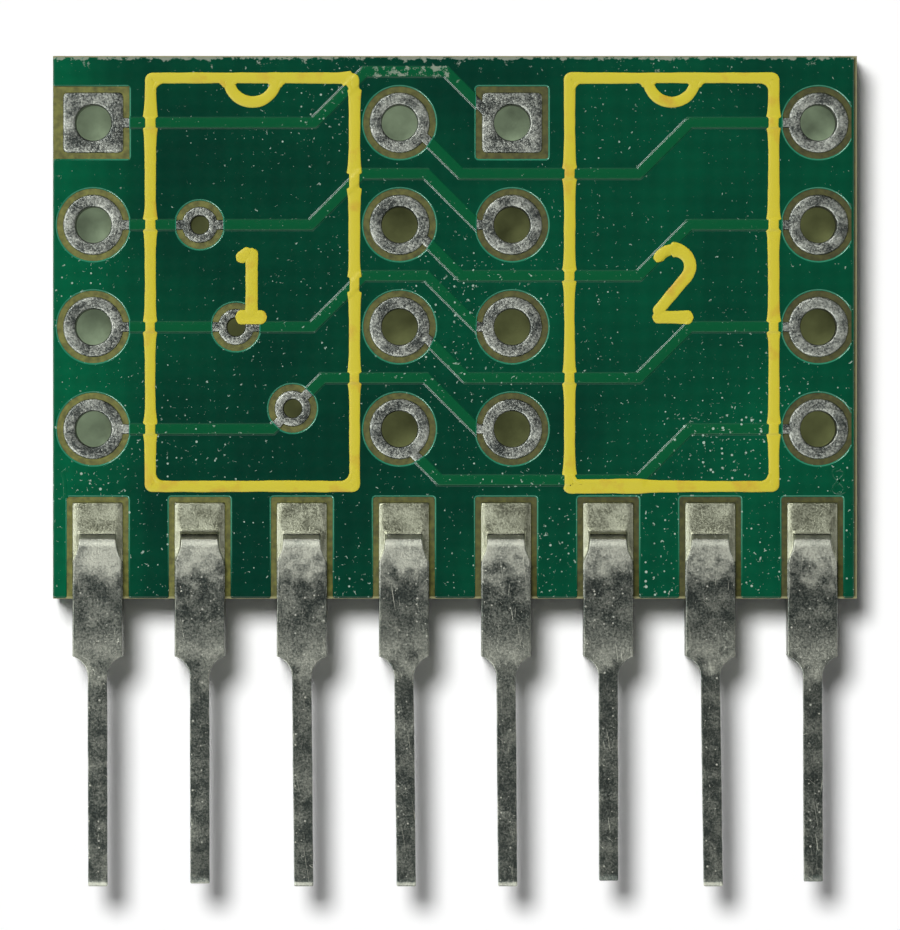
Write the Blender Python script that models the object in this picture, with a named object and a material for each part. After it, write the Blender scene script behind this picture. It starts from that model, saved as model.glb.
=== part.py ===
"""Single-in-line adapter board for two 8-pin dual-in-line chips.

The board lies on its back: X runs along the row of leads, Y from the leads to the board's top edge, and Z up
out of the face that carries the chips. Every piece hangs from one empty, board_datum, which stands at the
middle of the laminate's lower edge on its front face. Sizes are in metres, as multiples of a millimetre.
"""

import math

import bmesh
import bpy

MM = 0.001

# Grid that chips, leads and tracks share
GRID = 2.54 * MM
ROWS = 4  # pins in one column of a chip
LEADS = 2 * ROWS

# Board
LAMINATE_THICKNESS = 1.52 * MM
FIT_GAP = 0.005 * MM  # between any two pieces that touch
LEFT_MARGIN = 1.00 * MM  # from the board's side to the first column of holes
COLUMN_GAP = 2.80 * MM  # between the two chips' neighbouring columns
RIGHT_MARGIN = 0.96 * MM
LOWER_MARGIN = 0.56 * MM  # between the edge pads and the chips' bodies
UPPER_MARGIN = 0.39 * MM  # between the chips' bodies and the board's top edge

# Copper
COPPER_THICKNESS = 0.045 * MM  # foil and plating together
PLATING_THICKNESS = 0.045 * MM  # wall of a plated hole
TRACK_WIDTH = 0.24 * MM
HOLE_DIAMETER = 0.90 * MM
PAD_RING = 0.30 * MM
VIA_HOLE_DIAMETER = 0.46 * MM
VIA_RING = 0.22 * MM
EDGE_PAD_WIDTH = 1.25 * MM
EDGE_PAD_HEIGHT = 2.39 * MM

# Front tracks, measured from the column of holes that each bend or via is nearest to
LEFT_BENDS = (2.13 * MM, 2.21 * MM, 2.17 * MM, 3.17 * MM)  # where nets 1 to 4 leave row level
BENDS_BEFORE_COLUMN = (0.37 * MM, 0.87 * MM, 0.87 * MM, 0.88 * MM)  # where they come back to it
BENDS_AFTER_COLUMN = (0.26 * MM, 0.26 * MM, 0.39 * MM, -0.26 * MM)  # where nets 8 to 5 leave it
RIGHT_BEND = 3.20 * MM  # where nets 8 to 5 come back to it
THIRD_VIA = 3.55 * MM
FOURTH_VIA_SHIFT = 0.51 * MM  # past its track's first bend, in X and in Y

# Lacquer and ink
MASK_THICKNESS = 0.030 * MM
MASK_CLEARANCE = 0.15 * MM  # round pads
MASK_EDGE_PAD_CLEARANCE = 0.14 * MM
MASK_RIGHT_PULLBACK = 0.07 * MM
MASK_STRIP = 0.22 * MM  # a narrower strip between a square opening and the board's side is left out
INK_THICKNESS = 0.025 * MM
INK_WIDTH = 0.275 * MM
PRINT_SHIFTS_X = (0.15 * MM, 0.16 * MM)  # of the printed outlines against the chips' holes
PRINT_SHIFT_Y = -0.16 * MM
OUTLINE_CORNER_RADIUS = 0.20 * MM
NOTCH_RADIUS = 0.60 * MM

# Lead clips
SHEET_THICKNESS = 0.25 * MM
SOLDER_FILM = 0.010 * MM  # between a pad and the tine on it
LEG_WIDTH = 0.48 * MM
LEG_REACH = 7.15 * MM  # below the board's lower edge
LEG_LEANS = [lean * MM for lean in (0.01, 0.01, 0.05, 0.06, 0.04, 0.01, 0.07, 0.02)]
LEG_TRIMS = [trim * MM for trim in (0.0, 0.07, 0.0, 0.0, 0.0, 0.14, 0.0, 0.12)]
SHOULDER_RADIUS = 0.54 * MM
SADDLE_HEIGHT = 1.43 * MM
SADDLE_FOLD_RADIUS = 0.10 * MM
SADDLE_SLOT_WIDTH = 0.24 * MM
SADDLE_STEP = 0.02 * MM  # of a side wall beside the blade above it
BLADE_INSET = 0.025 * MM  # of the blade from the sides of its pad
TAPER_LENGTH = 0.24 * MM
TAPER_DEPTH = 0.095 * MM
NECK_LENGTH = 0.09 * MM
NECK_DEPTH = 0.025 * MM
TINE_TIP_Y = 1.60 * MM
TIP_DEPTH = 0.025 * MM
TIP_CURL_RADIUS = 0.555 * MM
TIP_CURL_ANGLE = math.radians(30)
FINGER_TIP_TAPER = 0.9

# Solder
SOLDER_START_Y = 0.80 * MM  # of the tongue between the rear fingers
SOLDER_RIM_HEIGHT = 0.035 * MM
SOLDER_TINE_HEIGHT = 0.20 * MM
SOLDER_INSET = 0.005 * MM  # of the solder's foot from the pad's rim

# Facets
SMOOTH_ANGLE = math.radians(50)
ROUND_STEPS = 12
VIA_STEPS = 8
SHOULDER_STEPS = 4
CURL_STEPS = 2
CORNER_STEPS = 2
MENISCUS_STEPS = 2

# Levels, measured from the laminate's front face outwards, and the same from its back face
COPPER_TOP = FIT_GAP + COPPER_THICKNESS
MASK_TOP = FIT_GAP + MASK_THICKNESS
RIB_HEIGHT = COPPER_TOP + FIT_GAP + MASK_THICKNESS
TINE_FOOT = COPPER_TOP + SOLDER_FILM
TINE_MIDDLE = TINE_FOOT + SHEET_THICKNESS / 2
TINE_TOP = TINE_FOOT + SHEET_THICKNESS
CURL_TOP = (
    TINE_MIDDLE
    + TIP_CURL_RADIUS * (1 - math.cos(TIP_CURL_ANGLE))
    + SHEET_THICKNESS / 2 * math.cos(TIP_CURL_ANGLE)
)

# Plan of the board, from the middle of its lower edge
COLUMN_SPACING = 3 * GRID  # of a dual-in-line chip
BODY_LENGTH = ROWS * GRID
BODY_WIDTH = 2 * GRID
BOARD_WIDTH = LEFT_MARGIN + 2 * COLUMN_SPACING + COLUMN_GAP + RIGHT_MARGIN
BODY_MIDDLE_Y = EDGE_PAD_HEIGHT + LOWER_MARGIN + BODY_LENGTH / 2
BOARD_HEIGHT = BODY_MIDDLE_Y + BODY_LENGTH / 2 + UPPER_MARGIN
CHIP_CENTRES = (
    LEFT_MARGIN + (COLUMN_SPACING - BOARD_WIDTH) / 2,
    (BOARD_WIDTH - COLUMN_SPACING) / 2 - RIGHT_MARGIN,
)
LEAD_XS = [(index - (LEADS - 1) / 2) * GRID for index in range(LEADS)]
MID_ROW = GRID / 2
PAD_DIAMETER = HOLE_DIAMETER + 2 * PAD_RING
VIA_PAD_DIAMETER = VIA_HOLE_DIAMETER + 2 * VIA_RING
DRILL_ALLOWANCE = PLATING_THICKNESS + FIT_GAP

# Plan of a lead, from the board's lower edge
SADDLE_TOP_Y = -FIT_GAP
SADDLE_BOTTOM_Y = SADDLE_TOP_Y - SADDLE_HEIGHT
CURL_START_Y = TINE_TIP_Y - (TIP_CURL_RADIUS + SHEET_THICKNESS / 2) * math.sin(TIP_CURL_ANGLE)
NECK_Y = CURL_START_Y - NECK_LENGTH
TAPER_Y = NECK_Y - TAPER_LENGTH
BLADE_HALF = EDGE_PAD_WIDTH / 2 - BLADE_INSET
SADDLE_HALF = BLADE_HALF + SADDLE_STEP
NECK_HALF = BLADE_HALF - TAPER_DEPTH
CURL_HALF = NECK_HALF - NECK_DEPTH
TIP_HALF = CURL_HALF - TIP_DEPTH
THROUGH = 1.0 * MM  # how far a cutter runs past a face

FRONT = 1
BACK = -1


def row_y(row):
    return BODY_MIDDLE_Y + ((ROWS - 1) / 2 - row) * GRID


def column_x(chip, side):
    return CHIP_CENTRES[chip] + side * COLUMN_SPACING / 2


def chip_holes():
    """(x, y, net, is square) of each chip hole: pins run down the left column and up the right one."""
    holes = []
    for chip in range(2):
        for row in range(ROWS):
            holes.append((column_x(chip, -1), row_y(row), row, row == 0))
            holes.append((column_x(chip, 1), row_y(row), LEADS - 1 - row, False))
    return holes


# Scene helpers


def clear_scene():
    for obj in list(bpy.data.objects):
        bpy.data.objects.remove(obj, do_unlink=True)


def make_material(name, colour, roughness, metallic=0.0):
    material = bpy.data.materials.new(name)
    material.use_nodes = True
    shader = material.node_tree.nodes["Principled BSDF"]
    shader.inputs["Base Color"].default_value = (*colour, 1.0)
    shader.inputs["Roughness"].default_value = roughness
    shader.inputs["Metallic"].default_value = metallic
    return material


def mesh_of_shape(name, shape):
    """Turns a working shape into a mesh with every face turned outwards."""
    bmesh.ops.recalc_face_normals(shape, faces=shape.faces)
    mesh = bpy.data.meshes.new(name)
    shape.to_mesh(mesh)
    shape.free()
    return mesh


def mesh_of_points(name, points, faces):
    shape = bmesh.new()
    corners = [shape.verts.new(point) for point in points]
    for face in faces:
        shape.faces.new([corners[index] for index in face])
    return mesh_of_shape(name, shape)


def add_object(name, mesh):
    obj = bpy.data.objects.new(name, mesh)
    bpy.context.scene.collection.objects.link(obj)
    return obj


def finish_part(obj, material, datum, location=(0.0, 0.0, 0.0)):
    obj.parent = datum
    obj.location = location
    obj.data.materials.clear()
    obj.data.materials.append(material)
    obj.data.shade_smooth()
    obj.data.set_sharp_from_angle(angle=SMOOTH_ANGLE)


def make_guide(obj, datum):
    """A cutter or an adder: kept in the scene for the modifiers that use it, and never rendered."""
    obj.parent = datum
    obj.hide_render = True
    obj.display_type = "WIRE"


def combine(obj, others, operation, datum):
    """One live Boolean of obj with a group of guides."""
    group = bpy.data.collections.new(f"{obj.name}_{operation.lower()}")
    bpy.context.scene.collection.children.link(group)
    for other in others:
        bpy.context.scene.collection.objects.unlink(other)
        group.objects.link(other)
        make_guide(other, datum)
    modifier = obj.modifiers.new(operation.lower(), "BOOLEAN")
    modifier.operation = operation
    modifier.solver = "EXACT"
    modifier.operand_type = "COLLECTION"
    modifier.collection = group


# Flat outlines


def circle_outline(x, y, diameter, steps):
    turn = 2 * math.pi / steps
    radius = diameter / 2
    return [
        (x + radius * math.cos(step * turn), y + radius * math.sin(step * turn))
        for step in range(steps)
    ]


def box_outline(left, bottom, right, top):
    return [(left, bottom), (right, bottom), (right, top), (left, top)]


def arc_points(x, y, radius, start, end, steps):
    """Points from angle start to angle end, both included."""
    return [
        (
            x + radius * math.cos(start + (end - start) * step / steps),
            y + radius * math.sin(start + (end - start) * step / steps),
        )
        for step in range(steps + 1)
    ]


def ribbon_outline(route, width):
    """Outline of a track of one width along a route, mitred at each bend and square at its ends."""
    left, right = [], []
    for index, (x, y) in enumerate(route):
        before = route[max(index - 1, 0)]
        after = route[min(index + 1, len(route) - 1)]
        headings = [
            math.atan2(end[1] - start[1], end[0] - start[0])
            for start, end in ((before, (x, y)), ((x, y), after))
            if start != end
        ]
        middle = sum(headings) / len(headings)
        reach = width / 2 / math.cos((headings[-1] - headings[0]) / 2)
        across = (-math.sin(middle) * reach, math.cos(middle) * reach)
        left.append((x + across[0], y + across[1]))
        right.append((x - across[0], y - across[1]))
    return right + left[::-1]


def prism(name, outline, low, high, face=FRONT):
    """A flat outline given thickness: low and high are heights above the laminate's front or back face."""
    base = 0.0 if face == FRONT else -LAMINATE_THICKNESS
    count = len(outline)
    points = [(x, y, base + face * low) for x, y in outline]
    points += [(x, y, base + face * high) for x, y in outline]
    sides = [
        (index, (index + 1) % count, count + (index + 1) % count, count + index)
        for index in range(count)
    ]
    ends = [tuple(range(count)), tuple(range(count, 2 * count))]
    return add_object(name, mesh_of_points(name, points, [*ends, *sides]))


def drill(name, x, y, diameter, steps, reach=THROUGH):
    """A round bar through the whole board, reach past both faces."""
    outline = circle_outline(x, y, diameter, steps)
    return prism(name, outline, -LAMINATE_THICKNESS - reach, reach)


# Tracks of the two sides


def track_with_step(start_x, end_x, row, bend_left, bend_right, rise):
    """A front track that runs half a row above or below row level between its two diagonals.

    Where the first bend would lie behind the start, the track starts out on the diagonal.
    """
    y = row_y(row)
    shift = rise * MID_ROW
    if bend_left > start_x:
        start = [(start_x, y), (bend_left, y)]
    else:
        start = [(start_x, y + rise * (start_x - bend_left))]
    return [
        *start,
        (bend_left + MID_ROW, y + shift),
        (bend_right - MID_ROW, y + shift),
        (bend_right, y),
        (end_x, y),
    ]


def front_tracks():
    """One route for each net: nets 0 to 3 join the left columns, nets 7 to 4 the right ones."""
    left_chip, right_chip = column_x(0, -1), column_x(1, -1)
    from_right, to_right = column_x(0, 1), column_x(1, 1)
    routes = {}
    come_back = to_right - RIGHT_BEND
    for row in range(ROWS):
        leave = from_right - LEFT_BENDS[row]
        bend_back = right_chip - BENDS_BEFORE_COLUMN[row]
        bend_away = from_right + BENDS_AFTER_COLUMN[row]
        routes[row] = track_with_step(left_chip, right_chip, row, leave, bend_back, 1)
        routes[LEADS - 1 - row] = track_with_step(
            from_right, to_right, row, bend_away, come_back, -1
        )
    return routes


def via_places():
    """Net to the place of its via, each on its net's front track."""
    return {
        1: (LEAD_XS[1], row_y(1)),
        2: (column_x(0, -1) + THIRD_VIA, row_y(2)),
        3: (column_x(0, 1) - LEFT_BENDS[3] + FOURTH_VIA_SHIFT, row_y(3) + FOURTH_VIA_SHIFT),
    }


def back_tracks():
    """One route for each net on the back, from a plated hole or a via to the net's edge pad."""
    vias = via_places()
    pad_y = EDGE_PAD_HEIGHT - PAD_DIAMETER / 4
    clear = MID_ROW  # a run half a pitch beside a column clears its pads
    outer_left, inner_left = column_x(0, -1), column_x(0, 1)
    outer_right = column_x(1, 1)
    bend_y = EDGE_PAD_HEIGHT + clear

    def drop(x_from, y_from, lead):
        """Straight down, then a diagonal, into an edge pad."""
        shift = LEAD_XS[lead] - x_from
        return [
            (x_from, y_from),
            (x_from, pad_y + abs(shift)),
            (LEAD_XS[lead], pad_y),
        ]

    def cross(row, lead):
        """From the first chip's right column half a row down, across, and down into an edge pad."""
        start = (inner_left, row_y(row))
        bend = (inner_left + MID_ROW, row_y(row) - MID_ROW)
        turn = MID_ROW / 2
        return [
            start,
            bend,
            (LEAD_XS[lead] - turn, bend[1]),
            (LEAD_XS[lead], bend[1] - turn),
            (LEAD_XS[lead], pad_y),
        ]

    fourth = vias[3]
    return {
        0: [
            (outer_left, row_y(0)),
            (outer_left + clear, row_y(0) - clear),
            (outer_left + clear, bend_y),
            (LEAD_XS[0], bend_y - (outer_left + clear - LEAD_XS[0])),
            (LEAD_XS[0], pad_y),
        ],
        1: [vias[1], (vias[1][0], pad_y)],
        2: drop(*vias[2], 2),
        3: [
            fourth,
            (LEAD_XS[3] - (fourth[1] - pad_y), fourth[1]),
            (LEAD_XS[3], pad_y),
        ],
        4: [
            (inner_left, row_y(3)),
            (inner_left + MID_ROW, row_y(3) - MID_ROW),
            (LEAD_XS[4] - (row_y(3) - MID_ROW - pad_y), row_y(3) - MID_ROW),
            (LEAD_XS[4], pad_y),
        ],
        5: cross(2, 5),
        6: cross(1, 6),
        7: [
            (outer_right, row_y(0)),
            (outer_right - clear, row_y(0) - clear),
            (outer_right - clear, bend_y),
            (LEAD_XS[7], bend_y - (LEAD_XS[7] - outer_right + clear)),
            (LEAD_XS[7], pad_y),
        ],
    }


def tracks_of(face):
    return front_tracks() if face == FRONT else back_tracks()


def track_bars(name, face, width, low, high):
    """Every track of one side as bars of a given width and height, which never touch each other."""
    return [
        prism(f"{name}_{net}", ribbon_outline(route, width), low, high, face)
        for net, route in tracks_of(face).items()
    ]


# Board pieces


def pad_outline(x, y, size, square):
    if square:
        half = size / 2
        return box_outline(x - half, y - half, x + half, y + half)
    return circle_outline(x, y, size, ROUND_STEPS)


def edge_pad_outline(lead, margin=0.0, below=0.0):
    half = EDGE_PAD_WIDTH / 2 + margin
    x = LEAD_XS[lead]
    return box_outline(x - half, -below, x + half, EDGE_PAD_HEIGHT + margin)


def make_laminate(material, datum):
    half = BOARD_WIDTH / 2
    outline = box_outline(-half, 0.0, half, BOARD_HEIGHT)
    laminate = prism("laminate", outline, -LAMINATE_THICKNESS, 0.0)
    extra = 2 * DRILL_ALLOWANCE
    drills = [
        drill(f"drill_{index}", x, y, HOLE_DIAMETER + extra, ROUND_STEPS)
        for index, (x, y, _, _) in enumerate(chip_holes())
    ]
    drills += [
        drill(f"via_drill_{net}", x, y, VIA_HOLE_DIAMETER + extra, VIA_STEPS)
        for net, (x, y) in via_places().items()
    ]
    combine(laminate, drills, "DIFFERENCE", datum)
    finish_part(laminate, material, datum)


def net_holes(net):
    """(x, y, hole diameter, pad outline, facets) of each plated hole of a net."""
    holes = [
        (x, y, HOLE_DIAMETER, pad_outline(x, y, PAD_DIAMETER, square), ROUND_STEPS)
        for x, y, owner, square in chip_holes()
        if owner == net
    ]
    if net in via_places():
        x, y = via_places()[net]
        outline = circle_outline(x, y, VIA_PAD_DIAMETER, VIA_STEPS)
        holes.append((x, y, VIA_HOLE_DIAMETER, outline, VIA_STEPS))
    return holes


def make_net(net, material, datum):
    """All copper of one net: pads, plated walls, tracks and the edge pad of the back."""
    parts, cutters = [], []
    for index, (x, y, diameter, outline, steps) in enumerate(net_holes(net)):
        name = f"net_{net + 1}_{index}"
        for face in (FRONT, BACK):
            parts.append(prism(f"{name}_pad", outline, FIT_GAP, COPPER_TOP, face))
        wall = diameter + 2 * PLATING_THICKNESS
        parts.append(drill(f"{name}_wall", x, y, wall, steps, COPPER_TOP))
        cutters.append(drill(f"{name}_bore", x, y, diameter, steps))
    for face in (FRONT, BACK):
        outline = ribbon_outline(tracks_of(face)[net], TRACK_WIDTH)
        parts.append(prism(f"net_{net + 1}_track", outline, FIT_GAP, COPPER_TOP, face))
    parts.append(
        prism(f"net_{net + 1}_edge", edge_pad_outline(net), FIT_GAP, COPPER_TOP, BACK)
    )
    copper = parts.pop(0)
    copper.name = f"net_{net + 1}"
    combine(copper, parts, "UNION", datum)
    combine(copper, cutters, "DIFFERENCE", datum)
    finish_part(copper, material, datum)


def make_edge_pads(material, datum):
    for lead in range(LEADS):
        pad = prism(f"edge_pad_{lead + 1}", edge_pad_outline(lead), FIT_GAP, COPPER_TOP)
        finish_part(pad, material, datum)


def bare_above(name, outline, level, bands, face, datum):
    """A block of air above a level, cut away along bands so that what lies under them stays taller."""
    block = prism(name, outline, level, THROUGH, face)
    combine(block, bands, "DIFFERENCE", datum)
    return block


def make_mask(name, face, material, datum):
    """The lacquer of one side: a skin that rises over the tracks and is open round every pad."""
    half = BOARD_WIDTH / 2
    outline = box_outline(-half, 0.0, half - MASK_RIGHT_PULLBACK, BOARD_HEIGHT)
    mask = prism(name, outline, FIT_GAP, RIB_HEIGHT, face)
    rib_width = TRACK_WIDTH + 2 * MASK_THICKNESS
    ribs = track_bars(f"{name}_rib", face, rib_width, -THROUGH, 2 * THROUGH)
    around = box_outline(-half - THROUGH, -THROUGH, half + THROUGH, BOARD_HEIGHT + THROUGH)
    cutters = [bare_above(f"{name}_air", around, MASK_TOP, ribs, face, datum)]
    groove_width = TRACK_WIDTH + 2 * FIT_GAP
    cutters += track_bars(
        f"{name}_groove", face, groove_width, -THROUGH, COPPER_TOP + FIT_GAP
    )
    openings = []
    for x, y, _, square in chip_holes():
        size = PAD_DIAMETER + 2 * MASK_CLEARANCE
        opening = pad_outline(x, y, size, square)
        if square and x - size / 2 < MASK_STRIP - half:
            opening = [(-half - THROUGH if px < x else px, py) for px, py in opening]
        openings.append(opening)
    for x, y in via_places().values():
        size = VIA_PAD_DIAMETER + 2 * MASK_CLEARANCE
        openings.append(circle_outline(x, y, size, VIA_STEPS))
    for lead in range(LEADS):
        openings.append(edge_pad_outline(lead, MASK_EDGE_PAD_CLEARANCE, THROUGH))
    for index, opening in enumerate(openings):
        cutters.append(prism(f"{name}_opening_{index}", opening, -THROUGH, THROUGH, face))
    combine(mask, cutters, "DIFFERENCE", datum)
    finish_part(mask, material, datum)


def rounded_box_outline(x, y, width, height, radius, top_dent=()):
    """A box with round corners, from its right side on. A dent's points, if any, go into its top edge."""
    left, right = x - width / 2 + radius, x + width / 2 - radius
    bottom, top = y - height / 2 + radius, y + height / 2 - radius
    quarter = math.pi / 2
    outline = arc_points(right, top, radius, 0, quarter, CORNER_STEPS)
    outline += top_dent
    outline += arc_points(left, top, radius, quarter, 2 * quarter, CORNER_STEPS)
    outline += arc_points(left, bottom, radius, 2 * quarter, 3 * quarter, CORNER_STEPS)
    return outline + arc_points(right, bottom, radius, 3 * quarter, 4 * quarter, CORNER_STEPS)


def notch_arc(x, top, radius, drop):
    """The arc of a circle round a point on the top line, as far as it lies below the line's inner edge."""
    slope = math.asin(drop / radius)
    return arc_points(x, top, radius, -slope, slope - math.pi, 2 * CORNER_STEPS + 2)


def make_legend(chip, material, datum):
    """The printed outline of a chip: a notched frame that climbs over the tracks it crosses."""
    name = f"legend_chip_{chip + 1}"
    x, y = CHIP_CENTRES[chip] + PRINT_SHIFTS_X[chip], BODY_MIDDLE_Y + PRINT_SHIFT_Y
    foot = MASK_TOP + FIT_GAP
    crest = RIB_HEIGHT + FIT_GAP + INK_THICKNESS
    half_line = INK_WIDTH / 2
    outside = rounded_box_outline(
        x, y, BODY_WIDTH + INK_WIDTH, BODY_LENGTH + INK_WIDTH, OUTLINE_CORNER_RADIUS
    )
    top = y + BODY_LENGTH / 2
    window = rounded_box_outline(
        x,
        y,
        BODY_WIDTH - INK_WIDTH,
        BODY_LENGTH - INK_WIDTH,
        OUTLINE_CORNER_RADIUS / 2,
        notch_arc(x, top, NOTCH_RADIUS + half_line, half_line),
    )
    half_moon = notch_arc(x, top, NOTCH_RADIUS - half_line, half_line)
    frame = prism(name, outside, foot, crest)
    rib_width = TRACK_WIDTH + 2 * MASK_THICKNESS + 2 * FIT_GAP
    climbs = track_bars(
        f"{name}_climb", FRONT, rib_width + 2 * INK_THICKNESS, -THROUGH, 2 * THROUGH
    )
    around = box_outline(x - BODY_WIDTH, y - BODY_LENGTH, x + BODY_WIDTH, y + BODY_LENGTH)
    cutters = [bare_above(f"{name}_air", around, foot + INK_THICKNESS, climbs, FRONT, datum)]
    cutters += track_bars(f"{name}_rib", FRONT, rib_width, -THROUGH, RIB_HEIGHT + FIT_GAP)
    cutters.append(prism(f"{name}_window", window, -THROUGH, THROUGH))
    cutters.append(prism(f"{name}_half_moon", half_moon, -THROUGH, THROUGH))
    combine(frame, cutters, "DIFFERENCE", datum)
    finish_part(frame, material, datum)


# Lead clips


def curl_stations(x, half_width, tip_half_width):
    """The lead-in: the last stretch of a tine bends away from the board on an arc.

    Each station is (centre x, y, rise of the sheet's middle, half width, tilt).
    """
    stations = []
    for step in range(CURL_STEPS + 1):
        share = step / CURL_STEPS
        tilt = TIP_CURL_ANGLE * share
        stations.append(
            (
                x,
                CURL_START_Y + TIP_CURL_RADIUS * math.sin(tilt),
                TIP_CURL_RADIUS * (1 - math.cos(tilt)),
                half_width + (tip_half_width - half_width) * share,
                tilt,
            )
        )
    return stations


def leg_stations(lean, trim):
    """From the leg's cut end to just below the saddle: a straight leg, then two hollow shoulder arcs."""
    leg_half = LEG_WIDTH / 2
    sweep = math.acos(1 - (SADDLE_HALF - leg_half) / SHOULDER_RADIUS)
    foot_y = SADDLE_BOTTOM_Y - SHOULDER_RADIUS * math.sin(sweep)
    stations = [(lean, trim - LEG_REACH, 0.0, leg_half, 0.0)]
    for step in range(SHOULDER_STEPS):
        turn = sweep * step / SHOULDER_STEPS
        reach = leg_half + SHOULDER_RADIUS * (1 - math.cos(turn))
        stations.append((0.0, foot_y + SHOULDER_RADIUS * math.sin(turn), 0.0, reach, 0.0))
    return stations


def blade_stations():
    """From above the saddle to the front tine's tip: a wide blade, a short taper and the curl."""
    return [
        (0.0, TAPER_Y, 0.0, BLADE_HALF, 0.0),
        (0.0, NECK_Y, 0.0, NECK_HALF, 0.0),
        *curl_stations(0.0, CURL_HALF, TIP_HALF),
    ]


def finger_stations(side):
    """A rear finger rises from a flap of the saddle, as wide as the flap's flat part, to its own curl."""
    inside, outside = SADDLE_SLOT_WIDTH / 2, SADDLE_HALF - SADDLE_FOLD_RADIUS
    half = (outside - inside) / 2
    return curl_stations(side * (inside + half), half, half * FINGER_TIP_TAPER)


def sheet_ring(shape, station, face):
    """The four corners of the sheet's cut section: along the board's side, then along the outside."""
    x, y, rise, half_width, tilt = station
    base = 0.0 if face == FRONT else -LAMINATE_THICKNESS
    corners = []
    for side, skin in ((-1, -1), (1, -1), (1, 1), (-1, 1)):
        offset = skin * SHEET_THICKNESS / 2
        level = TINE_MIDDLE + rise + offset * math.cos(tilt)
        place = (x + side * half_width, y - offset * math.sin(tilt), base + face * level)
        corners.append(shape.verts.new(place))
    return corners


def add_strip(shape, stations, face):
    """Flat or curved sheet through a row of stations, open where it begins and closed where it ends."""
    rings = [sheet_ring(shape, station, face) for station in stations]
    for before, after in zip(rings, rings[1:]):
        for corner in range(4):
            beside = (corner + 1) % 4
            shape.faces.new((before[corner], before[beside], after[beside], after[corner]))
    shape.faces.new(rings[-1])
    return rings[0]


def half_profile():
    """Right half of the saddle's section in X and Z, named point by point.

    slot_out to front_flat is the outside, round both folds, and ceiling to slot_in is the inside.
    """
    half = SADDLE_HALF
    radius = SADDLE_FOLD_RADIUS
    low = -LAMINATE_THICKNESS - TINE_TOP
    inner = half - SHEET_THICKNESS
    slot = SADDLE_SLOT_WIDTH / 2
    quarter = math.pi / 2
    rear = arc_points(half - radius, low + radius, radius, -quarter, 0.0, 2)
    front = arc_points(half - radius, TINE_TOP - radius, radius, 0.0, quarter, 2)
    names = ("slot_out", "rear_flat", "rear_fold", "rear_wall", "wall_foot", "front_wall", "front_fold")
    places = [(slot, low), *rear, (half, TINE_FOOT), *front]
    profile = dict(zip((*names, "front_flat"), places))
    profile["ceiling"] = (inner, TINE_FOOT)
    profile["floor"] = (inner, low + SHEET_THICKNESS)
    profile["slot_in"] = (slot, low + SHEET_THICKNESS)
    return profile


def saddle_end(shape, y):
    """The points of one end of the saddle, with the square corners of the flat sheet that joins it."""
    ends = {}
    for side in (-1, 1):
        for name, (x, z) in half_profile().items():
            ends[side, name] = shape.verts.new((side * x, y, z))
        ends[side, "corner"] = shape.verts.new((side * SADDLE_HALF, y, TINE_TOP))
    return ends


def join_sheet(shape, end, ring):
    """Joins a flat sheet's ring to the saddle's front, where square corners stand past the round folds."""
    for side, inner_corner, outer_corner in ((-1, ring[0], ring[3]), (1, ring[1], ring[2])):
        foot, wall = end[side, "wall_foot"], end[side, "front_wall"]
        fold, flat, corner = end[side, "front_fold"], end[side, "front_flat"], end[side, "corner"]
        shape.faces.new((inner_corner, outer_corner, corner, wall, foot))
        shape.faces.new((corner, wall, fold, flat))
    inside = [(1, "wall_foot"), (1, "ceiling"), (-1, "ceiling"), (-1, "wall_foot")]
    outside = [(1, "corner"), (1, "front_flat"), (-1, "front_flat"), (-1, "corner")]
    shape.faces.new([ring[0], ring[1], *(end[key] for key in inside)])
    shape.faces.new([ring[3], ring[2], *(end[key] for key in outside)])


def add_saddle(shape):
    """The fold below the board's edge: front web, two side walls and two rear flaps round an open slot.

    The upper end leaves the flaps' flat parts open for the fingers.
    """
    bottom, top = saddle_end(shape, SADDLE_BOTTOM_Y), saddle_end(shape, SADDLE_TOP_Y)
    names = list(half_profile())
    loop = [(1, name) for name in names[:-3]]
    loop += [(-1, name) for name in names[-4::-1]]
    loop += [(-1, name) for name in names[:-4:-1]]
    loop += [(1, name) for name in names[-3:]]
    for here, beside in zip(loop, loop[1:] + loop[:1]):
        shape.faces.new((bottom[here], bottom[beside], top[beside], top[here]))
    wall = ("rear_flat", "rear_fold", "rear_wall", "wall_foot", "ceiling", "floor")
    flap_corners = {}
    for side in (-1, 1):
        cut = [bottom[side, name] for name in ("slot_out", *wall, "slot_in")]
        shape.faces.new(cut)
        flat_x = side * half_profile()["rear_flat"][0]
        flap_corners[side] = shape.verts.new((flat_x, SADDLE_TOP_Y, half_profile()["floor"][1]))
        shape.faces.new([*(top[side, name] for name in wall), flap_corners[side]])
    return bottom, top, flap_corners


def join_finger(shape, end, side, flap_corner, ring):
    """Joins a finger's first ring to the open flat part of its flap."""
    near, far = (ring[0], ring[3]), (ring[1], ring[2])
    if side < 0:
        near, far = far, near
    slot_in, slot_out = end[side, "slot_in"], end[side, "slot_out"]
    floor, flat = end[side, "floor"], end[side, "rear_flat"]
    shape.faces.new((slot_in, slot_out, near[1], near[0]))
    shape.faces.new((slot_out, flat, far[1], near[1]))
    shape.faces.new((flat, flap_corner, far[0], far[1]))
    shape.faces.new((slot_in, floor, flap_corner, far[0], near[0]))


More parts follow.
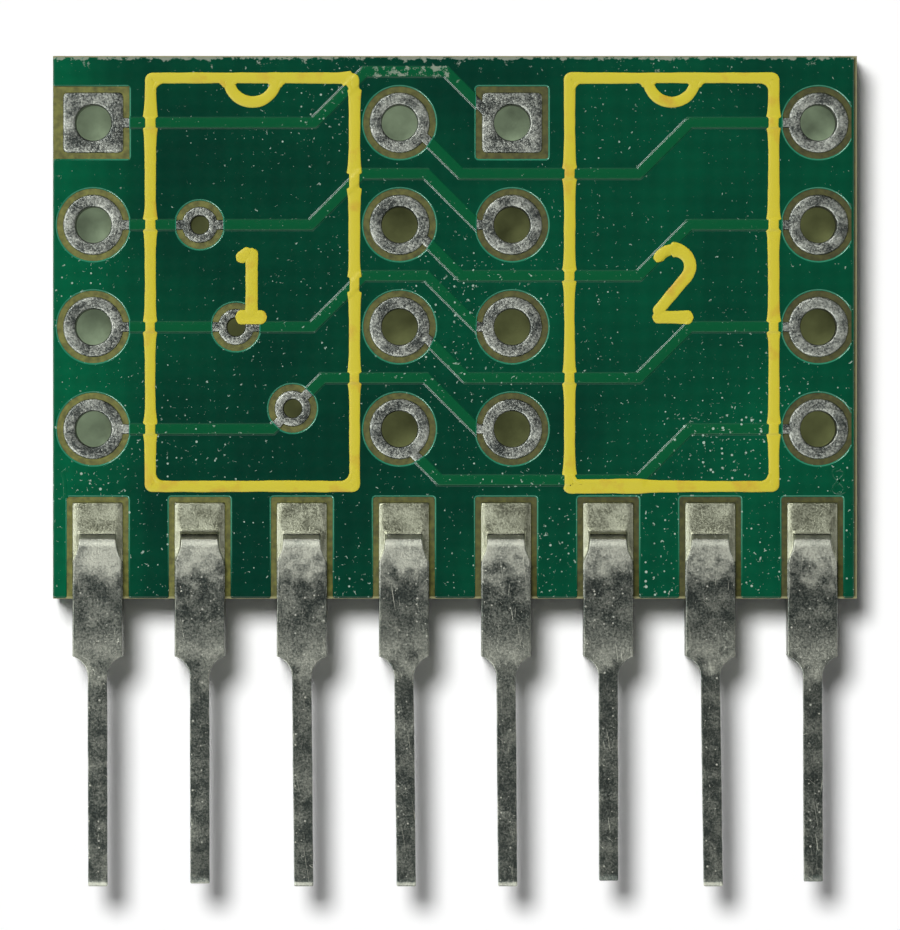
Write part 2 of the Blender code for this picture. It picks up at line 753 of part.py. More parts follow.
def make_lead_clip(lead, material, datum):
    """One lead, folded from one piece of sheet: leg, shoulder, saddle, front tine and two rear fingers."""
    shape = bmesh.new()
    bottom, top, flap_corners = add_saddle(shape)
    leg = leg_stations(LEG_LEANS[lead], LEG_TRIMS[lead])
    join_sheet(shape, bottom, add_strip(shape, leg[::-1], FRONT))
    join_sheet(shape, top, add_strip(shape, blade_stations(), FRONT))
    for side in (-1, 1):
        finger = add_strip(shape, finger_stations(side), BACK)
        join_finger(shape, top, side, flap_corners[side], finger)
    name = f"lead_clip_{lead + 1}"
    clip = add_object(name, mesh_of_shape(name, shape))
    finish_part(clip, material, datum, (LEAD_XS[lead], 0.0, 0.0))


# Solder


def meniscus(share):
    """Height share of a fillet from the tine, where share is 0, out to the pad's rim, where it is 1."""
    return (1 - share) ** 2


def front_solder_rows():
    """(inner x, inner y, outer x, outer y) round the tine from its right flank to its tip's corner."""
    rim_x = EDGE_PAD_WIDTH / 2 - SOLDER_INSET
    rim_y = EDGE_PAD_HEIGHT - SOLDER_INSET
    tip_y = TINE_TIP_Y + FIT_GAP
    return [
        (BLADE_HALF + FIT_GAP, TAPER_Y, rim_x, TAPER_Y),
        (NECK_HALF + FIT_GAP, NECK_Y, rim_x, NECK_Y),
        (CURL_HALF + FIT_GAP, CURL_START_Y, rim_x, (CURL_START_Y + tip_y) / 2),
        (TIP_HALF + FIT_GAP, tip_y, rim_x, rim_y),
    ]


def front_solder_mesh():
    """A fillet that stands on the pad round the tine's tip and both its tapered flanks."""
    half_rows = front_solder_rows()
    middle = (0.0, half_rows[-1][1], 0.0, half_rows[-1][3])
    mirrored = [(-ix, iy, -ox, oy) for ix, iy, ox, oy in half_rows[::-1]]
    rows = [*half_rows, middle, *mirrored]
    foot = COPPER_TOP + FIT_GAP
    points = []
    for inner_x, inner_y, outer_x, outer_y in rows:
        for step in range(MENISCUS_STEPS + 1):
            share = step / MENISCUS_STEPS
            height = SOLDER_RIM_HEIGHT + (SOLDER_TINE_HEIGHT - SOLDER_RIM_HEIGHT) * meniscus(share)
            x = inner_x + (outer_x - inner_x) * share
            y = inner_y + (outer_y - inner_y) * share
            points.append((x, y, foot + height))
        points.append((outer_x, outer_y, foot))
        points.append((inner_x, inner_y, foot))
    ring = MENISCUS_STEPS + 3
    faces = [tuple(range(ring)), tuple(len(points) - ring + corner for corner in range(ring))]
    for row in range(len(rows) - 1):
        for corner in range(ring):
            after = (corner + 1) % ring
            faces.append(
                (
                    row * ring + corner,
                    row * ring + after,
                    (row + 1) * ring + after,
                    (row + 1) * ring + corner,
                )
            )
    return mesh_of_points("front_solder", points, faces)


def rear_solder_mesh():
    """A pool on the back pad: a bar past the fingers' tips, and a tongue of it between the two fingers."""
    rim_x = EDGE_PAD_WIDTH / 2 - SOLDER_INSET
    rim_y = EDGE_PAD_HEIGHT - SOLDER_INSET
    tip_y = TINE_TIP_Y + FIT_GAP
    tongue = SADDLE_SLOT_WIDTH / 2 - FIT_GAP
    fall_y = tip_y + (rim_y - tip_y) / 2
    fall_height = SOLDER_RIM_HEIGHT + (SOLDER_TINE_HEIGHT - SOLDER_RIM_HEIGHT) * meniscus(0.5)
    rows = (
        (tongue, SOLDER_START_Y, SOLDER_RIM_HEIGHT),
        (tongue, tip_y, SOLDER_TINE_HEIGHT),
        (rim_x, tip_y, SOLDER_TINE_HEIGHT / 2),
        (rim_x, fall_y, fall_height),
        (rim_x, rim_y, SOLDER_RIM_HEIGHT),
    )
    foot = -LAMINATE_THICKNESS - COPPER_TOP - FIT_GAP
    points = []
    for x, y, height in rows:
        for side in (1, -1):
            points.append((side * x, y, foot - height))
            points.append((side * x, y, foot))
    faces = [
        (0, 2, 6, 4),
        (4, 6, 10, 14, 12, 8),
        (12, 14, 18, 16),
        (1, 5, 9, 13, 17, 19, 15, 11, 7, 3),
        (0, 1, 3, 2),
        (16, 18, 19, 17),
    ]
    for row in range(0, 16, 4):
        for corner in (row, row + 2):
            faces.append((corner, corner + 1, corner + 5, corner + 4))
    return mesh_of_points("rear_solder", points, faces)


def place_solder(name, mesh, lead, material, datum):
    obj = add_object(f"{name}_{lead + 1}", mesh)
    finish_part(obj, material, datum, (LEAD_XS[lead], 0.0, 0.0))


def main():
    clear_scene()
    datum = add_object("board_datum", None)
    datum.location = (0.0, (LEG_REACH - BOARD_HEIGHT) / 2, LAMINATE_THICKNESS + CURL_TOP)

    laminate = make_material("glass_epoxy_laminate", (0.16, 0.16, 0.06), 0.6)
    lacquer = make_material("green_solder_mask", (0.0, 0.065, 0.03), 0.25)
    tinned = make_material("tinned_copper", (0.30, 0.28, 0.26), 0.45, 1.0)
    plated = make_material("tin_plated_sheet", (0.28, 0.27, 0.24), 0.4, 1.0)
    solder = make_material("solder", (0.38, 0.37, 0.34), 0.3, 1.0)
    ink = make_material("yellow_legend_ink", (0.70, 0.55, 0.03), 0.6)

    make_laminate(laminate, datum)
    make_mask("solder_mask_front", FRONT, lacquer, datum)
    make_mask("solder_mask_back", BACK, lacquer, datum)
    for net in range(LEADS):
        make_net(net, tinned, datum)
    make_edge_pads(tinned, datum)
    front_fillet = front_solder_mesh()
    rear_fillet = rear_solder_mesh()
    for lead in range(LEADS):
        make_lead_clip(lead, plated, datum)
        place_solder("solder_front", front_fillet, lead, solder, datum)
        place_solder("solder_rear", rear_fillet, lead, solder, datum)
    for chip in range(2):
        make_legend(chip, ink, datum)


main()
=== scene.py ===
"""Single-in-line adapter board for two 8-pin chips, with smooth forms and real finishes.

Plan sizes are millimetres from the middle of the board's lower edge: X along the leads, Y up the board. Levels
are millimetres out of the laminate's front or back face. Each piece replaces the CAD node of the same name.
"""

import math

import bmesh
import bpy
import numpy as np
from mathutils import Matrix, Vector
from mathutils.geometry import delaunay_2d_cdt


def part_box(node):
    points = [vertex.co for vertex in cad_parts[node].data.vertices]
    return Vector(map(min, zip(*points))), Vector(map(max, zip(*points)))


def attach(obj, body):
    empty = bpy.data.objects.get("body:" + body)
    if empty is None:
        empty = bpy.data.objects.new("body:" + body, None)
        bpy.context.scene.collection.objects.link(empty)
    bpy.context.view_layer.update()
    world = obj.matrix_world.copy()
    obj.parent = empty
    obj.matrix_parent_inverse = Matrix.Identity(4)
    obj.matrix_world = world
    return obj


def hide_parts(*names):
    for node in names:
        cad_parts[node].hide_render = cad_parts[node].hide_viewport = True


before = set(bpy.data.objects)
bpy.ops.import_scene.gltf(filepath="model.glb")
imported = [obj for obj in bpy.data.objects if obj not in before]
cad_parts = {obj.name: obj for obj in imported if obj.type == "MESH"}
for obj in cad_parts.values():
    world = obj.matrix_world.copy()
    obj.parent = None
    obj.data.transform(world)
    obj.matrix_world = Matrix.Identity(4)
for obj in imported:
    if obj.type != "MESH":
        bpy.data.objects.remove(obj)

bl_info = {
    "name": "Adapter board dressing",
    "version": (1, 0, 0),
    "blender": (4, 5, 0),
    "location": "3D View > Sidebar > Adapter",
    "description": "Builds the lacquer, copper, ink, leads and solder of a single-in-line adapter board",
    "category": "Object",
}

MM = 0.001
FRONT, BACK = 1, -1
GRID = 2.54
LEADS = 8

LAMINATE_LOW, LAMINATE_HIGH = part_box("laminate")
BOARD_LEFT, BOARD_RIGHT = LAMINATE_LOW.x / MM, LAMINATE_HIGH.x / MM
BOARD_HEIGHT = (LAMINATE_HIGH.y - LAMINATE_LOW.y) / MM
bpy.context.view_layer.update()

# Columns of holes, left to right, and rows, top to bottom
COLUMNS = (-9.00, -1.38, 1.42, 9.04)
ROW_YS = (11.84, 9.30, 6.76, 4.22)
VIAS = {1: (-6.35, 9.30), 2: (-5.45, 6.76), 3: (-4.04, 4.73)}
LEAD_XS = [(index - (LEADS - 1) / 2) * GRID for index in range(LEADS)]
# Bends of the front tracks, row by row: left of a chip's right column, left of the next chip's left column,
# and right of the first chip's right column
LEFT_BENDS = (2.13, 2.21, 2.17, 3.17)
BACK_BENDS = (0.37, 0.87, 0.87, 0.88)
AWAY_BENDS = (0.26, 0.26, 0.39, -0.26)
RIGHT_BEND = 3.20
OUTLINE_CENTRES = ((-5.04, 7.87), (5.39, 7.87))
NUMERAL_CENTRES = ((-5.08, 7.84), (5.41, 7.84))
# Edge pads, and the lacquer's bays round them
EDGE_PAD_HALF, EDGE_PAD_HEIGHT = 0.625, 2.39
BAY_HALF, BAY_HEIGHT = EDGE_PAD_HALF + 0.14, EDGE_PAD_HEIGHT + 0.14
# Each leg's end leans to one side and is cut short; each pool of solder climbs its tine by its own height
LEG_LEANS = (0.01, 0.01, 0.05, 0.06, 0.04, 0.01, 0.07, 0.02)
LEG_TRIMS = (0.0, 0.07, 0.0, 0.0, 0.0, 0.14, 0.0, 0.12)
SOLDER_CLIMBS = (0.03, 0.15, 0.04, 0.03, 0.04, 0.14, 0.03, 0.05)
# The pools of solder end just inside the edge pads
SOLDER_HALF, SOLDER_TOP = 0.62, 2.385
LEG_REACH = 7.15
LEG_HALF, BLADE_HALF, TINE_HALF = 0.24, 0.62, 0.48
# Lower end of the saddle that grips the board's edge
SADDLE_END = -1.435
# The tine's curl starts at this height up the board, and a cut end narrows over its last two stations
CURL_START, CURL_RADIUS = 1.2575, 0.555
CUT_END = np.array([0.012, 0.03])
# Play between stacked layers
FIT = 0.005
# Share of a ridge's slope that lies over its track
CREST = 0.25


def linear(code):
    """The linear colour of an sRGB hex code."""
    shares = np.array([int(code[start : start + 2], 16) for start in (1, 3, 5)]) / 255
    bent = np.where(shares <= 0.04045, shares / 12.92, ((shares + 0.055) / 1.055) ** 2.4)
    return (*bent.tolist(), 1.0)


def length(label, text, value):
    """A length property, given in millimetres."""
    return bpy.props.FloatProperty(
        name=label, description=text, default=value * MM, precision=5, unit="LENGTH"
    )


def tint(label, text, code):
    """A colour property, given as an sRGB hex code."""
    return bpy.props.FloatVectorProperty(
        name=label, description=text, default=linear(code), size=4, subtype="COLOR"
    )


class AdapterSizes(bpy.types.PropertyGroup):
    """Sizes of the thin layers and of the folded sheet."""

    copper: length("Copper", "Thickness of foil and plating", 0.045)
    track: length("Track", "Width of a track", 0.24)
    pad: length("Pad", "Diameter of a chip pad", 1.50)
    hole: length("Hole", "Diameter of a chip hole", 0.90)
    via_pad: length("Via pad", "Diameter of a via's pad", 0.90)
    via_hole: length("Via hole", "Diameter of a via's hole", 0.46)
    lacquer: length("Lacquer", "Thickness of the lacquer", 0.030)
    clearance: length("Clearance", "Between a pad and the lacquer round it", 0.15)
    ridge: length("Ridge", "Height of the lacquer's ridge over a track", 0.024)
    slope: length("Slope", "Width of the lacquer's slope beside a track", 0.050)
    ink: length("Ink", "Thickness of the printed ink", 0.025)
    ink_line: length("Ink line", "Width of a printed line", 0.280)
    sheet: length("Sheet", "Thickness of the leads' sheet metal", 0.25)
    cut_edge: length("Cut edge", "Rounding of a sheared edge of the sheet", 0.022)
    fold: length("Fold", "Outside radius of a rear fold in the sheet", 0.10)
    saddle_fold: length("Saddle fold", "Outside radius of a fold beside the saddle", 0.036)


class AdapterFinishes(bpy.types.PropertyGroup):
    """Colours of the finishes."""

    lacquer_deep: tint("Lacquer, deep", "Green lacquer over bare laminate", "#003526")
    # Lacquer, light: the lighter tone of a random mottle and of the board's left side
    lacquer_light: tint("Lacquer, light", "Green lacquer where it lies thinner", "#005A3A")
    lacquer_track: tint("Lacquer on copper", "Green lacquer over a track", "#065732")
    lacquer_rim: tint("Lacquer rim", "Thin rim of the lacquer round an opening", "#2C8264")
    laminate: tint("Laminate", "Bare glass-epoxy face", "#5F602E")
    laminate_edge: tint("Laminate edge", "Sawn edge with its glass fibres", "#9A9770")
    tin: tint("Tin", "Levelled tin on copper", "#B3B7AD")
    tin_dark: tint("Tin, dark", "Dark grains of the levelled tin", "#454A47")
    sheet: tint("Sheet", "Tin plating of the leads", "#B6B8AA")
    sheet_worn: tint("Sheet, worn", "Plating dulled by handling", "#555D58")
    solder: tint("Solder", "Tin-lead solder", "#A6A995")
    solder_dull: tint("Solder, dull", "Frosted solder with flux stains", "#8C8F79")
    ink: tint("Ink", "Yellow marking ink", "#C6B91C")
    ink_thick: tint("Ink, thick", "Marking ink where it lies thicker", "#C09E18")
    dust: tint("Dust", "Pale dust on the lacquer", "#B0C6B6")
    worn: tint("Worn lacquer", "Lacquer rubbed through to resin and metal", "#857F6C")


def sizes():
    """The size properties in millimetres."""
    group = bpy.context.scene.adapter_sizes
    return {key: getattr(group, key) / MM for key in AdapterSizes.__annotations__}


# Meshes from arrays


class Shell:
    """Collects points, faces and one named value per point for a piece."""

    def __init__(self):
        self.points, self.faces, self.values, self.count = [], [], [], 0

    def add(self, points, faces, values=0.0):
        points = np.asarray(points, float).reshape(-1, 3)
        self.points.append(points)
        self.faces += [[corner + self.count for corner in face] for face in faces]
        self.values.append(np.broadcast_to(np.asarray(values, float).ravel(), len(points)))
        self.count += len(points)

    def add_grid(self, points, ends="capped", values=0.0):
        """Quads between neighbouring points of a grid whose rows are closed rings. The first and the last
        ring are capped with a face each, joined to each other or left open."""
        rows, columns = points.shape[:2]
        numbers = np.arange(rows * columns).reshape(rows, columns)
        numbers = np.hstack([numbers, numbers[:, :1]])
        if ends == "joined":
            numbers = np.vstack([numbers, numbers[:1]])
        corners = (numbers[:-1, :-1], numbers[:-1, 1:], numbers[1:, 1:], numbers[1:, :-1])
        faces = np.stack(corners, axis=-1).reshape(-1, 4).tolist()
        if ends == "capped":
            ring = list(range(columns))
            faces += [ring, [corner + (rows - 1) * columns for corner in ring]]
        self.add(points, faces, values)

    def add_swept(self, points, up, face, ends="capped", values=0.0):
        """The same through a grid of plan points at levels out of a face of the laminate."""
        heights = np.broadcast_to(level(up, face), points.shape[:2])
        self.add_grid(np.dstack([points, heights]), ends, values)


def in_world(points):
    """Plan millimetres and world height in millimetres, turned to metres in the frame."""
    return points * MM + np.array([0.0, LAMINATE_LOW.y, 0.0])


def level(height, face):
    """World height in millimetres of a level out of one face of the laminate."""
    base = LAMINATE_HIGH.z if face == FRONT else LAMINATE_LOW.z
    return base / MM + face * np.asarray(height, float)


def add_object(name, data):
    """A new object in the scene."""
    made = bpy.data.objects.new(name, data)
    bpy.context.scene.collection.objects.link(made)
    return made


def make_piece(name, shell, maker, attribute=None, sharp=40):
    """Puts a shell into a mesh, welds its seams, turns its faces outwards and gives it to the frame."""
    mesh = bpy.data.meshes.new(name)
    mesh.from_pydata(in_world(np.vstack(shell.points)), [], shell.faces)
    if attribute:
        values = mesh.attributes.new(attribute, "FLOAT", "POINT")
        values.data.foreach_set("value", np.concatenate(shell.values))
    welded = bmesh.new()
    welded.from_mesh(mesh)
    bmesh.ops.remove_doubles(welded, verts=welded.verts, dist=1e-8)
    bmesh.ops.recalc_face_normals(welded, faces=welded.faces)
    welded.to_mesh(mesh)
    welded.free()
    mesh.shade_smooth()
    mesh.set_sharp_from_angle(angle=math.radians(sharp))
    mesh.materials.append(finish(maker))
    piece = add_object(f"{name}_dressed", mesh)
    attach(piece, "root")
    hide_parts(name)


# Paths in plan


def unit(steps):
    """Vectors brought to length 1."""
    return steps / np.linalg.norm(steps, axis=-1, keepdims=True)


def moved_left(path, distance, closed):
    """A path moved to its left: each point goes along the mean of the left-hand directions of the two
    stretches that meet there, lengthened until both stretches have moved by the distance."""
    if closed:
        before, after = path - np.roll(path, 1, axis=0), np.roll(path, -1, axis=0) - path
    else:
        step = np.diff(path, axis=0)
        before, after = np.vstack([step[:1], step]), np.vstack([step, step[-1:]])
    left = unit(before)[:, ::-1] * (-1, 1)
    middle = left + unit(after)[:, ::-1] * (-1, 1)
    middle /= (middle * left).sum(axis=1, keepdims=True)
    return path + np.reshape(distance, (-1, 1)) * middle


def rails(path, offsets, closed=False):
    """Lines beside a path, one per offset to its right, as a grid with a row per point of the path."""
    return np.stack([moved_left(path, -offset, closed) for offset in offsets], axis=1)


def soft_corners(outline, radius, steps=4):
    """An outline whose corners are cut by parabolas: each runs from a radius before the corner to a
    radius after it, as (1-t)^2 A + 2t(1-t) C + t^2 B."""
    outline = np.asarray(outline, float)
    first, last = (outline + radius * unit(np.roll(outline, way, axis=0) - outline) for way in (1, -1))
    t = np.linspace(0, 1, steps + 1)[None, :, None]
    curves = (1 - t) ** 2 * first[:, None] + 2 * t * (1 - t) * outline[:, None] + t**2 * last[:, None]
    return curves.reshape(-1, 2)


def quarter(steps):
    """Angles of a quarter turn."""
    return np.linspace(0, math.pi / 2, steps)


def arc(centre, radius, turn):
    """Points of a circle at the angles of turn, anticlockwise from the right."""
    return np.asarray(centre) + radius * np.column_stack([np.cos(turn), np.sin(turn)])


def box(left, low, right, high):
    """Corners of an upright rectangle, anticlockwise."""
    return [(left, low), (right, low), (right, high), (left, high)]


def spaced(path, step, closed=False):
    """A path filled up with points at most a step apart, its own points kept."""
    path = np.asarray(path, float)
    ends = np.vstack([path[1:], path[:1]]) if closed else path[1:]
    parts = []
    for start, end in zip(path, ends):
        count = max(1, math.ceil(np.linalg.norm(end - start) / step))
        parts.append(start + (end - start) * np.arange(count)[:, None] / count)
    if not closed:
        parts.append(path[-1:])
    return np.vstack(parts)


def distance_to(points, route):
    """Shortest distance from points to a broken line: each point is dropped on every stretch, with its
    foot held between the stretch's ends, and the least distance counts."""
    start, step = route[:-1], np.diff(route, axis=0)
    share = ((points[:, None] - start) * step).sum(-1) / (step**2).sum(-1)
    foot = start + np.clip(share, 0, 1)[..., None] * step
    return np.linalg.norm(points[:, None] - foot, axis=-1).min(axis=1)


def within(points, openings):
    """Whether points lie in any opening. An opening is a centre with a half width and a half height, and is
    round where the height is None."""
    inside = np.zeros(points.shape[:-1], bool)
    for centre, half, height in openings:
        away = np.abs(points - centre)
        if height is None:
            inside |= np.linalg.norm(away, axis=-1) < half
        else:
            inside |= (away < (half, height)).all(axis=-1)
    return inside


def runs_clear_of(route, openings):
    """The stretches of a route outside every opening, each with its corners kept."""
    dense = spaced(route, 0.01)
    clear = ~within(dense, openings)
    edges = np.flatnonzero(np.diff(clear.astype(int))) + 1
    runs = []
    for run, kept in zip(np.split(dense, edges), np.split(clear, edges)):
        if kept[0] and len(run) > 4:
            step = np.diff(run, axis=0)
            bends = np.abs(np.cross(step[:-1], step[1:])) > 1e-7
            runs.append(run[np.r_[True, bends, True]])
    return runs


# Plan of the board


def front_routes():
    """Net number to the route of its front track: level, along a diagonal half a row up or down, level, back
    along a diagonal and level again. Where the first bend lies behind the start it starts on the diagonal."""
    half = GRID / 2
    routes = {}
    for row, y in enumerate(ROW_YS):
        up = (row, 1, COLUMNS[0], COLUMNS[1] - LEFT_BENDS[row], COLUMNS[2] - BACK_BENDS[row], COLUMNS[2])
        down = (LEADS - 1 - row, -1, COLUMNS[1], COLUMNS[1] + AWAY_BENDS[row], COLUMNS[3] - RIGHT_BEND, COLUMNS[3])
        for net, rise, start, first, last, end in (up, down):
            route = [(start, y), (first, y), (first + half, y + rise * half),
                     (last - half, y + rise * half), (last, y), (end, y)]
            if first < start:
                route[:2] = [(start, y + rise * (start - first))]
            routes[net] = np.array(route)
    return routes


def back_routes():
    """Net number to the route of its back track, down to its edge pad: along a board's side, straight from a
    via, or across under the second chip."""
    half, pad_y = GRID / 2, EDGE_PAD_HEIGHT - 0.375
    bend, low = EDGE_PAD_HEIGHT + half, ROW_YS[3] - half

    def beside(column, side, x):
        inner, y = COLUMNS[column] + side * half, ROW_YS[0]
        return [(COLUMNS[column], y), (inner, y - half), (inner, bend), (x, bend - abs(x - inner)), (x, pad_y)]

    def across(row, x):
        y = ROW_YS[row] - half
        return [(COLUMNS[1], y + half), (COLUMNS[1] + half, y), (x - half / 2, y), (x, y - half / 2), (x, pad_y)]

    routes = (
        beside(0, 1, LEAD_XS[0]),
        [VIAS[1], (VIAS[1][0], pad_y)],
        [VIAS[2], (VIAS[2][0], pad_y + abs(LEAD_XS[2] - VIAS[2][0])), (LEAD_XS[2], pad_y)],
        [VIAS[3], (LEAD_XS[3] - VIAS[3][1] + pad_y, VIAS[3][1]), (LEAD_XS[3], pad_y)],
        [(COLUMNS[1], ROW_YS[3]), (COLUMNS[1] + half, low), (LEAD_XS[4] - low + pad_y, low), (LEAD_XS[4], pad_y)],
        across(2, LEAD_XS[5]),
        across(1, LEAD_XS[6]),
        beside(3, -1, LEAD_XS[7]),
    )
    return {net: np.array(route) for net, route in enumerate(routes)}


def holes():
    """(centre, net, square) of each chip hole: pins run down a chip's left column and up its right one."""
    return [((x, y), LEADS - 1 - row if column % 2 else row, row == 0 and column % 2 == 0)
            for row, y in enumerate(ROW_YS) for column, x in enumerate(COLUMNS)]


def lacquer_openings(size):
    """The lacquer's openings round pads and vias, as runs_clear_of() reads them."""
    half = size["pad"] / 2 + size["clearance"]
    found = [(centre, half, half if square else None) for centre, _, square in holes()]
    return found + [(place, size["via_pad"] / 2 + size["clearance"], None) for place in VIAS.values()]


# Small numbers etched in copper beside the outer leads: the strokes of a 1, and of an 8 as the loop
# (sin 2t, cos t)
LOOP = np.linspace(0.0, 2 * math.pi, 49)
COPPER_NUMERALS = (
    np.array([(-9.66, 3.21), (-9.77, 3.10), (-9.71, 2.98), (-9.69, 2.50)]),
    np.column_stack([9.56 + 0.14 * np.sin(2 * LOOP), 2.93 + 0.29 * np.cos(LOOP)]),
)


def flank(share):
    """Height of a ridge's side: half a cosine wave, down from 1 at share 0 to 0 at share 1."""
    return (1 + np.cos(math.pi * np.clip(share, 0, 1))) / 2


def lacquer_surface(points, size):
    """Level of the front lacquer at points of the plan, the share of the ridge's height there, and the
    distance to the nearest track."""
    nearest = np.min([distance_to(points, route) for route in front_routes().values()], axis=0)
    over = flank((nearest - size["track"] / 2) / size["slope"] + CREST)
    return FIT + size["lacquer"] + size["ridge"] * over, over, nearest


# Lacquer


def lacquer_border(size):
    """Outer outline of the lacquer, anticlockwise, with a bay round each edge pad and one round the square
    pad beside the board's left side, where too thin a strip would be left."""
    right, low, top = BOARD_RIGHT - 0.07, 0.012, BOARD_HEIGHT - 0.03
    border = [(BOARD_LEFT, low)]
    for x in LEAD_XS:
        border += [(x - BAY_HALF, low), (x - BAY_HALF, BAY_HEIGHT), (x + BAY_HALF, BAY_HEIGHT), (x + BAY_HALF, low)]
    border += [(right, low), (right, top), (BOARD_LEFT, top)]
    reach = size["pad"] / 2 + size["clearance"]
    x, y = COLUMNS[0] + reach, ROW_YS[0]
    border += [(BOARD_LEFT, y + reach), (x, y + reach), (x, y - reach), (BOARD_LEFT, y - reach)]
    border = soft_corners(border, 0.07)
    # Its longest step up is the right side, which takes points beside the holes that reach it
    step = np.argmax(np.diff(border[:, 1])) + 1
    places = np.sort(np.add.outer(ROW_YS, (-0.58, -0.45, 0.45, 0.58)).ravel())
    beside = np.column_stack([np.full(len(places), right), places])
    return np.vstack([border[:step], beside, border[step:]])


def add_lacquer_sheet(shell, face, size):
    """A flat skin with rounded rims. Each rim is a quarter of an ellipse, carried along its outline: at the
    turn a it lies lip (1 - cos a) inside the outline and the lacquer's thickness times sin a high."""
    lip, margin = 0.050, 0.018
    openings = lacquer_openings(size)
    outlines = [lacquer_border(size)]
    for (x, y), half, height in openings:
        if height is None:
            outlines.append(arc((x, y), half, np.arange(64) * 2 * math.pi / 64))
        elif x > 0:
            outlines.append(soft_corners(box(x - half, y - half, x + half, y + half), 0.08))
    turn = quarter(6)
    # One more ring inside the rim keeps the flat skin's shading flat
    reach = np.r_[lip * (1 - np.cos(turn)), lip + margin, lip + margin]
    height = np.r_[FIT + size["lacquer"] * np.sin(turn), FIT + size["lacquer"], FIT]
    edge = outlines[0][:, 0].max()
    inmost = []
    for number, outline in enumerate(outlines):
        rings = np.array([moved_left(outline, -across if number else across, True) for across in reach])
        thin = np.repeat(-np.clip(1 - reach / lip, 0, 1)[:, None], len(outline), axis=1)
        thin[-1] = 0.0
        # Where an opening reaches the right side, the rims of both sink away into the laminate
        if number:
            sunk = rings[..., 0] > edge - lip - margin
            rings[..., 0] = np.minimum(rings[..., 0], edge)
        else:
            sunk = within(rings, openings)
            bays = (outline > (BOARD_LEFT + 0.1, 0.1)) & (outline < (BOARD_RIGHT - 0.2, BOARD_HEIGHT - 0.1))
            thin = thin * bays.all(axis=1)
        shell.add_swept(rings, np.where(sunk, -0.02, height[:, None]), face, "open", thin)
        inmost.append(rings[-1])
    flat, faces = triangles_between(inmost)
    for up in height[-2:]:
        shell.add(np.column_stack([flat, np.full(len(flat), level(up, face))]), faces)


def triangles_between(outlines):
    """Points and triangles of the flat region inside the first outline and outside the others. All their
    sides are sides of triangles. A ray along X from a triangle's middle meets an outline an odd number of
    times where the middle is inside it."""
    points = np.vstack(outlines)
    sides = []
    for outline in outlines:
        first, count = len(sides), len(outline)
        sides += [(first + step, first + (step + 1) % count) for step in range(count)]
    made = delaunay_2d_cdt([Vector(point) for point in points.tolist()], sides, [], 0, 1e-7)
    flat, triangles = np.array([tuple(point) for point in made[0]]), np.array(made[2])
    x, y = flat[triangles].mean(axis=1).T[:, :, None]
    kept = np.ones(len(triangles), bool)
    for outline in outlines:
        start_x, start_y = outline.T
        end_x, end_y = np.roll(outline, -1, axis=0).T
        spans = (start_y > y) != (end_y > y)
        with np.errstate(divide="ignore", invalid="ignore"):
            meets = start_x + (y - start_y) * (end_x - start_x) / (end_y - start_y)
        inside = (spans & (meets > x)).sum(axis=1) % 2 == 1
        kept &= inside if outline is outlines[0] else ~inside
    return flat, triangles[kept].tolist()


def beside_bends(run, gap):
    """A run with one more point a gap before and after each bend, which keeps the shading of a bend there."""
    way = unit(np.diff(run, axis=0))
    bends = np.stack([run[1:-1] - gap * way[:-1], run[1:-1], run[1:-1] + gap * way[1:]], axis=1)
    return np.vstack([run[:1], bends.reshape(-1, 2), run[-1:]])


def add_ridge(shell, run, half_width, slope, rise, foot, face, cover=1.0, openings=()):
    """A low ridge carried along a run: half a cosine wave up, a flat crest and half a wave down, closed
    below the lacquer's face. Its value is the share of its height, which tells where copper lies under it.
    Each of its lines ends where it enters an opening, with the thin rim's value along the last bit."""
    shares = np.linspace(0, 1, 7)
    reach = half_width + slope * (shares - CREST)
    share = np.r_[flank(shares)[::-1], flank(shares), 0.0, 0.0]
    up = foot + np.r_[rise * share[:-2], -0.02, -0.02]
    points = rails(run, np.r_[-reach[::-1], reach, reach[-1], -reach[-1]])
    values = np.broadcast_to(cover * share, points.shape[:2])
    if openings:
        rims = []
        for end, inner in ((0, 1), (-1, -2)):
            way = unit(run[end] - run[inner])
            ahead = np.linspace(-0.34, 0.34, 171)
            entered = within(points[end][:, None] + ahead[:, None] * way, openings)
            stop = np.where(entered.any(axis=1), ahead[entered.argmax(axis=1)], 0.0)
            last = points[end] + stop[:, None] * way
            rims.append([last, last - 0.026 * way, last - 0.034 * way])
        points = np.concatenate([rims[0], points[1:-1], rims[1][::-1]])
        thin = np.array([-1.0, -0.25])[:, None] + 0 * share
        values = np.concatenate([thin, np.broadcast_to(cover * share, (len(points) - 4, len(share))), thin[::-1]])
    shell.add_swept(points, up, face, values=values)


def make_lacquer(face, name):
    """One side's lacquer: the sheet, and a ridge over every stretch of track that it covers."""
    size, shell = sizes(), Shell()
    add_lacquer_sheet(shell, face, size)
    foot = FIT + size["lacquer"]
    openings = lacquer_openings(size) + [((x, 0.0), BAY_HALF, BAY_HEIGHT) for x in LEAD_XS]
    for route in (front_routes() if face == FRONT else back_routes()).values():
        for run in runs_clear_of(route, openings):
            add_ridge(shell, beside_bends(run, 0.08), size["track"] / 2, size["slope"], size["ridge"], foot, face,
                      openings=openings)
    if face == FRONT:
        for stroke in COPPER_NUMERALS:
            add_ridge(shell, stroke, 0.030, 0.045, 0.009, foot, face, 0.15)
    make_piece(name, shell, green_solder_lacquer, "cover")


# Copper


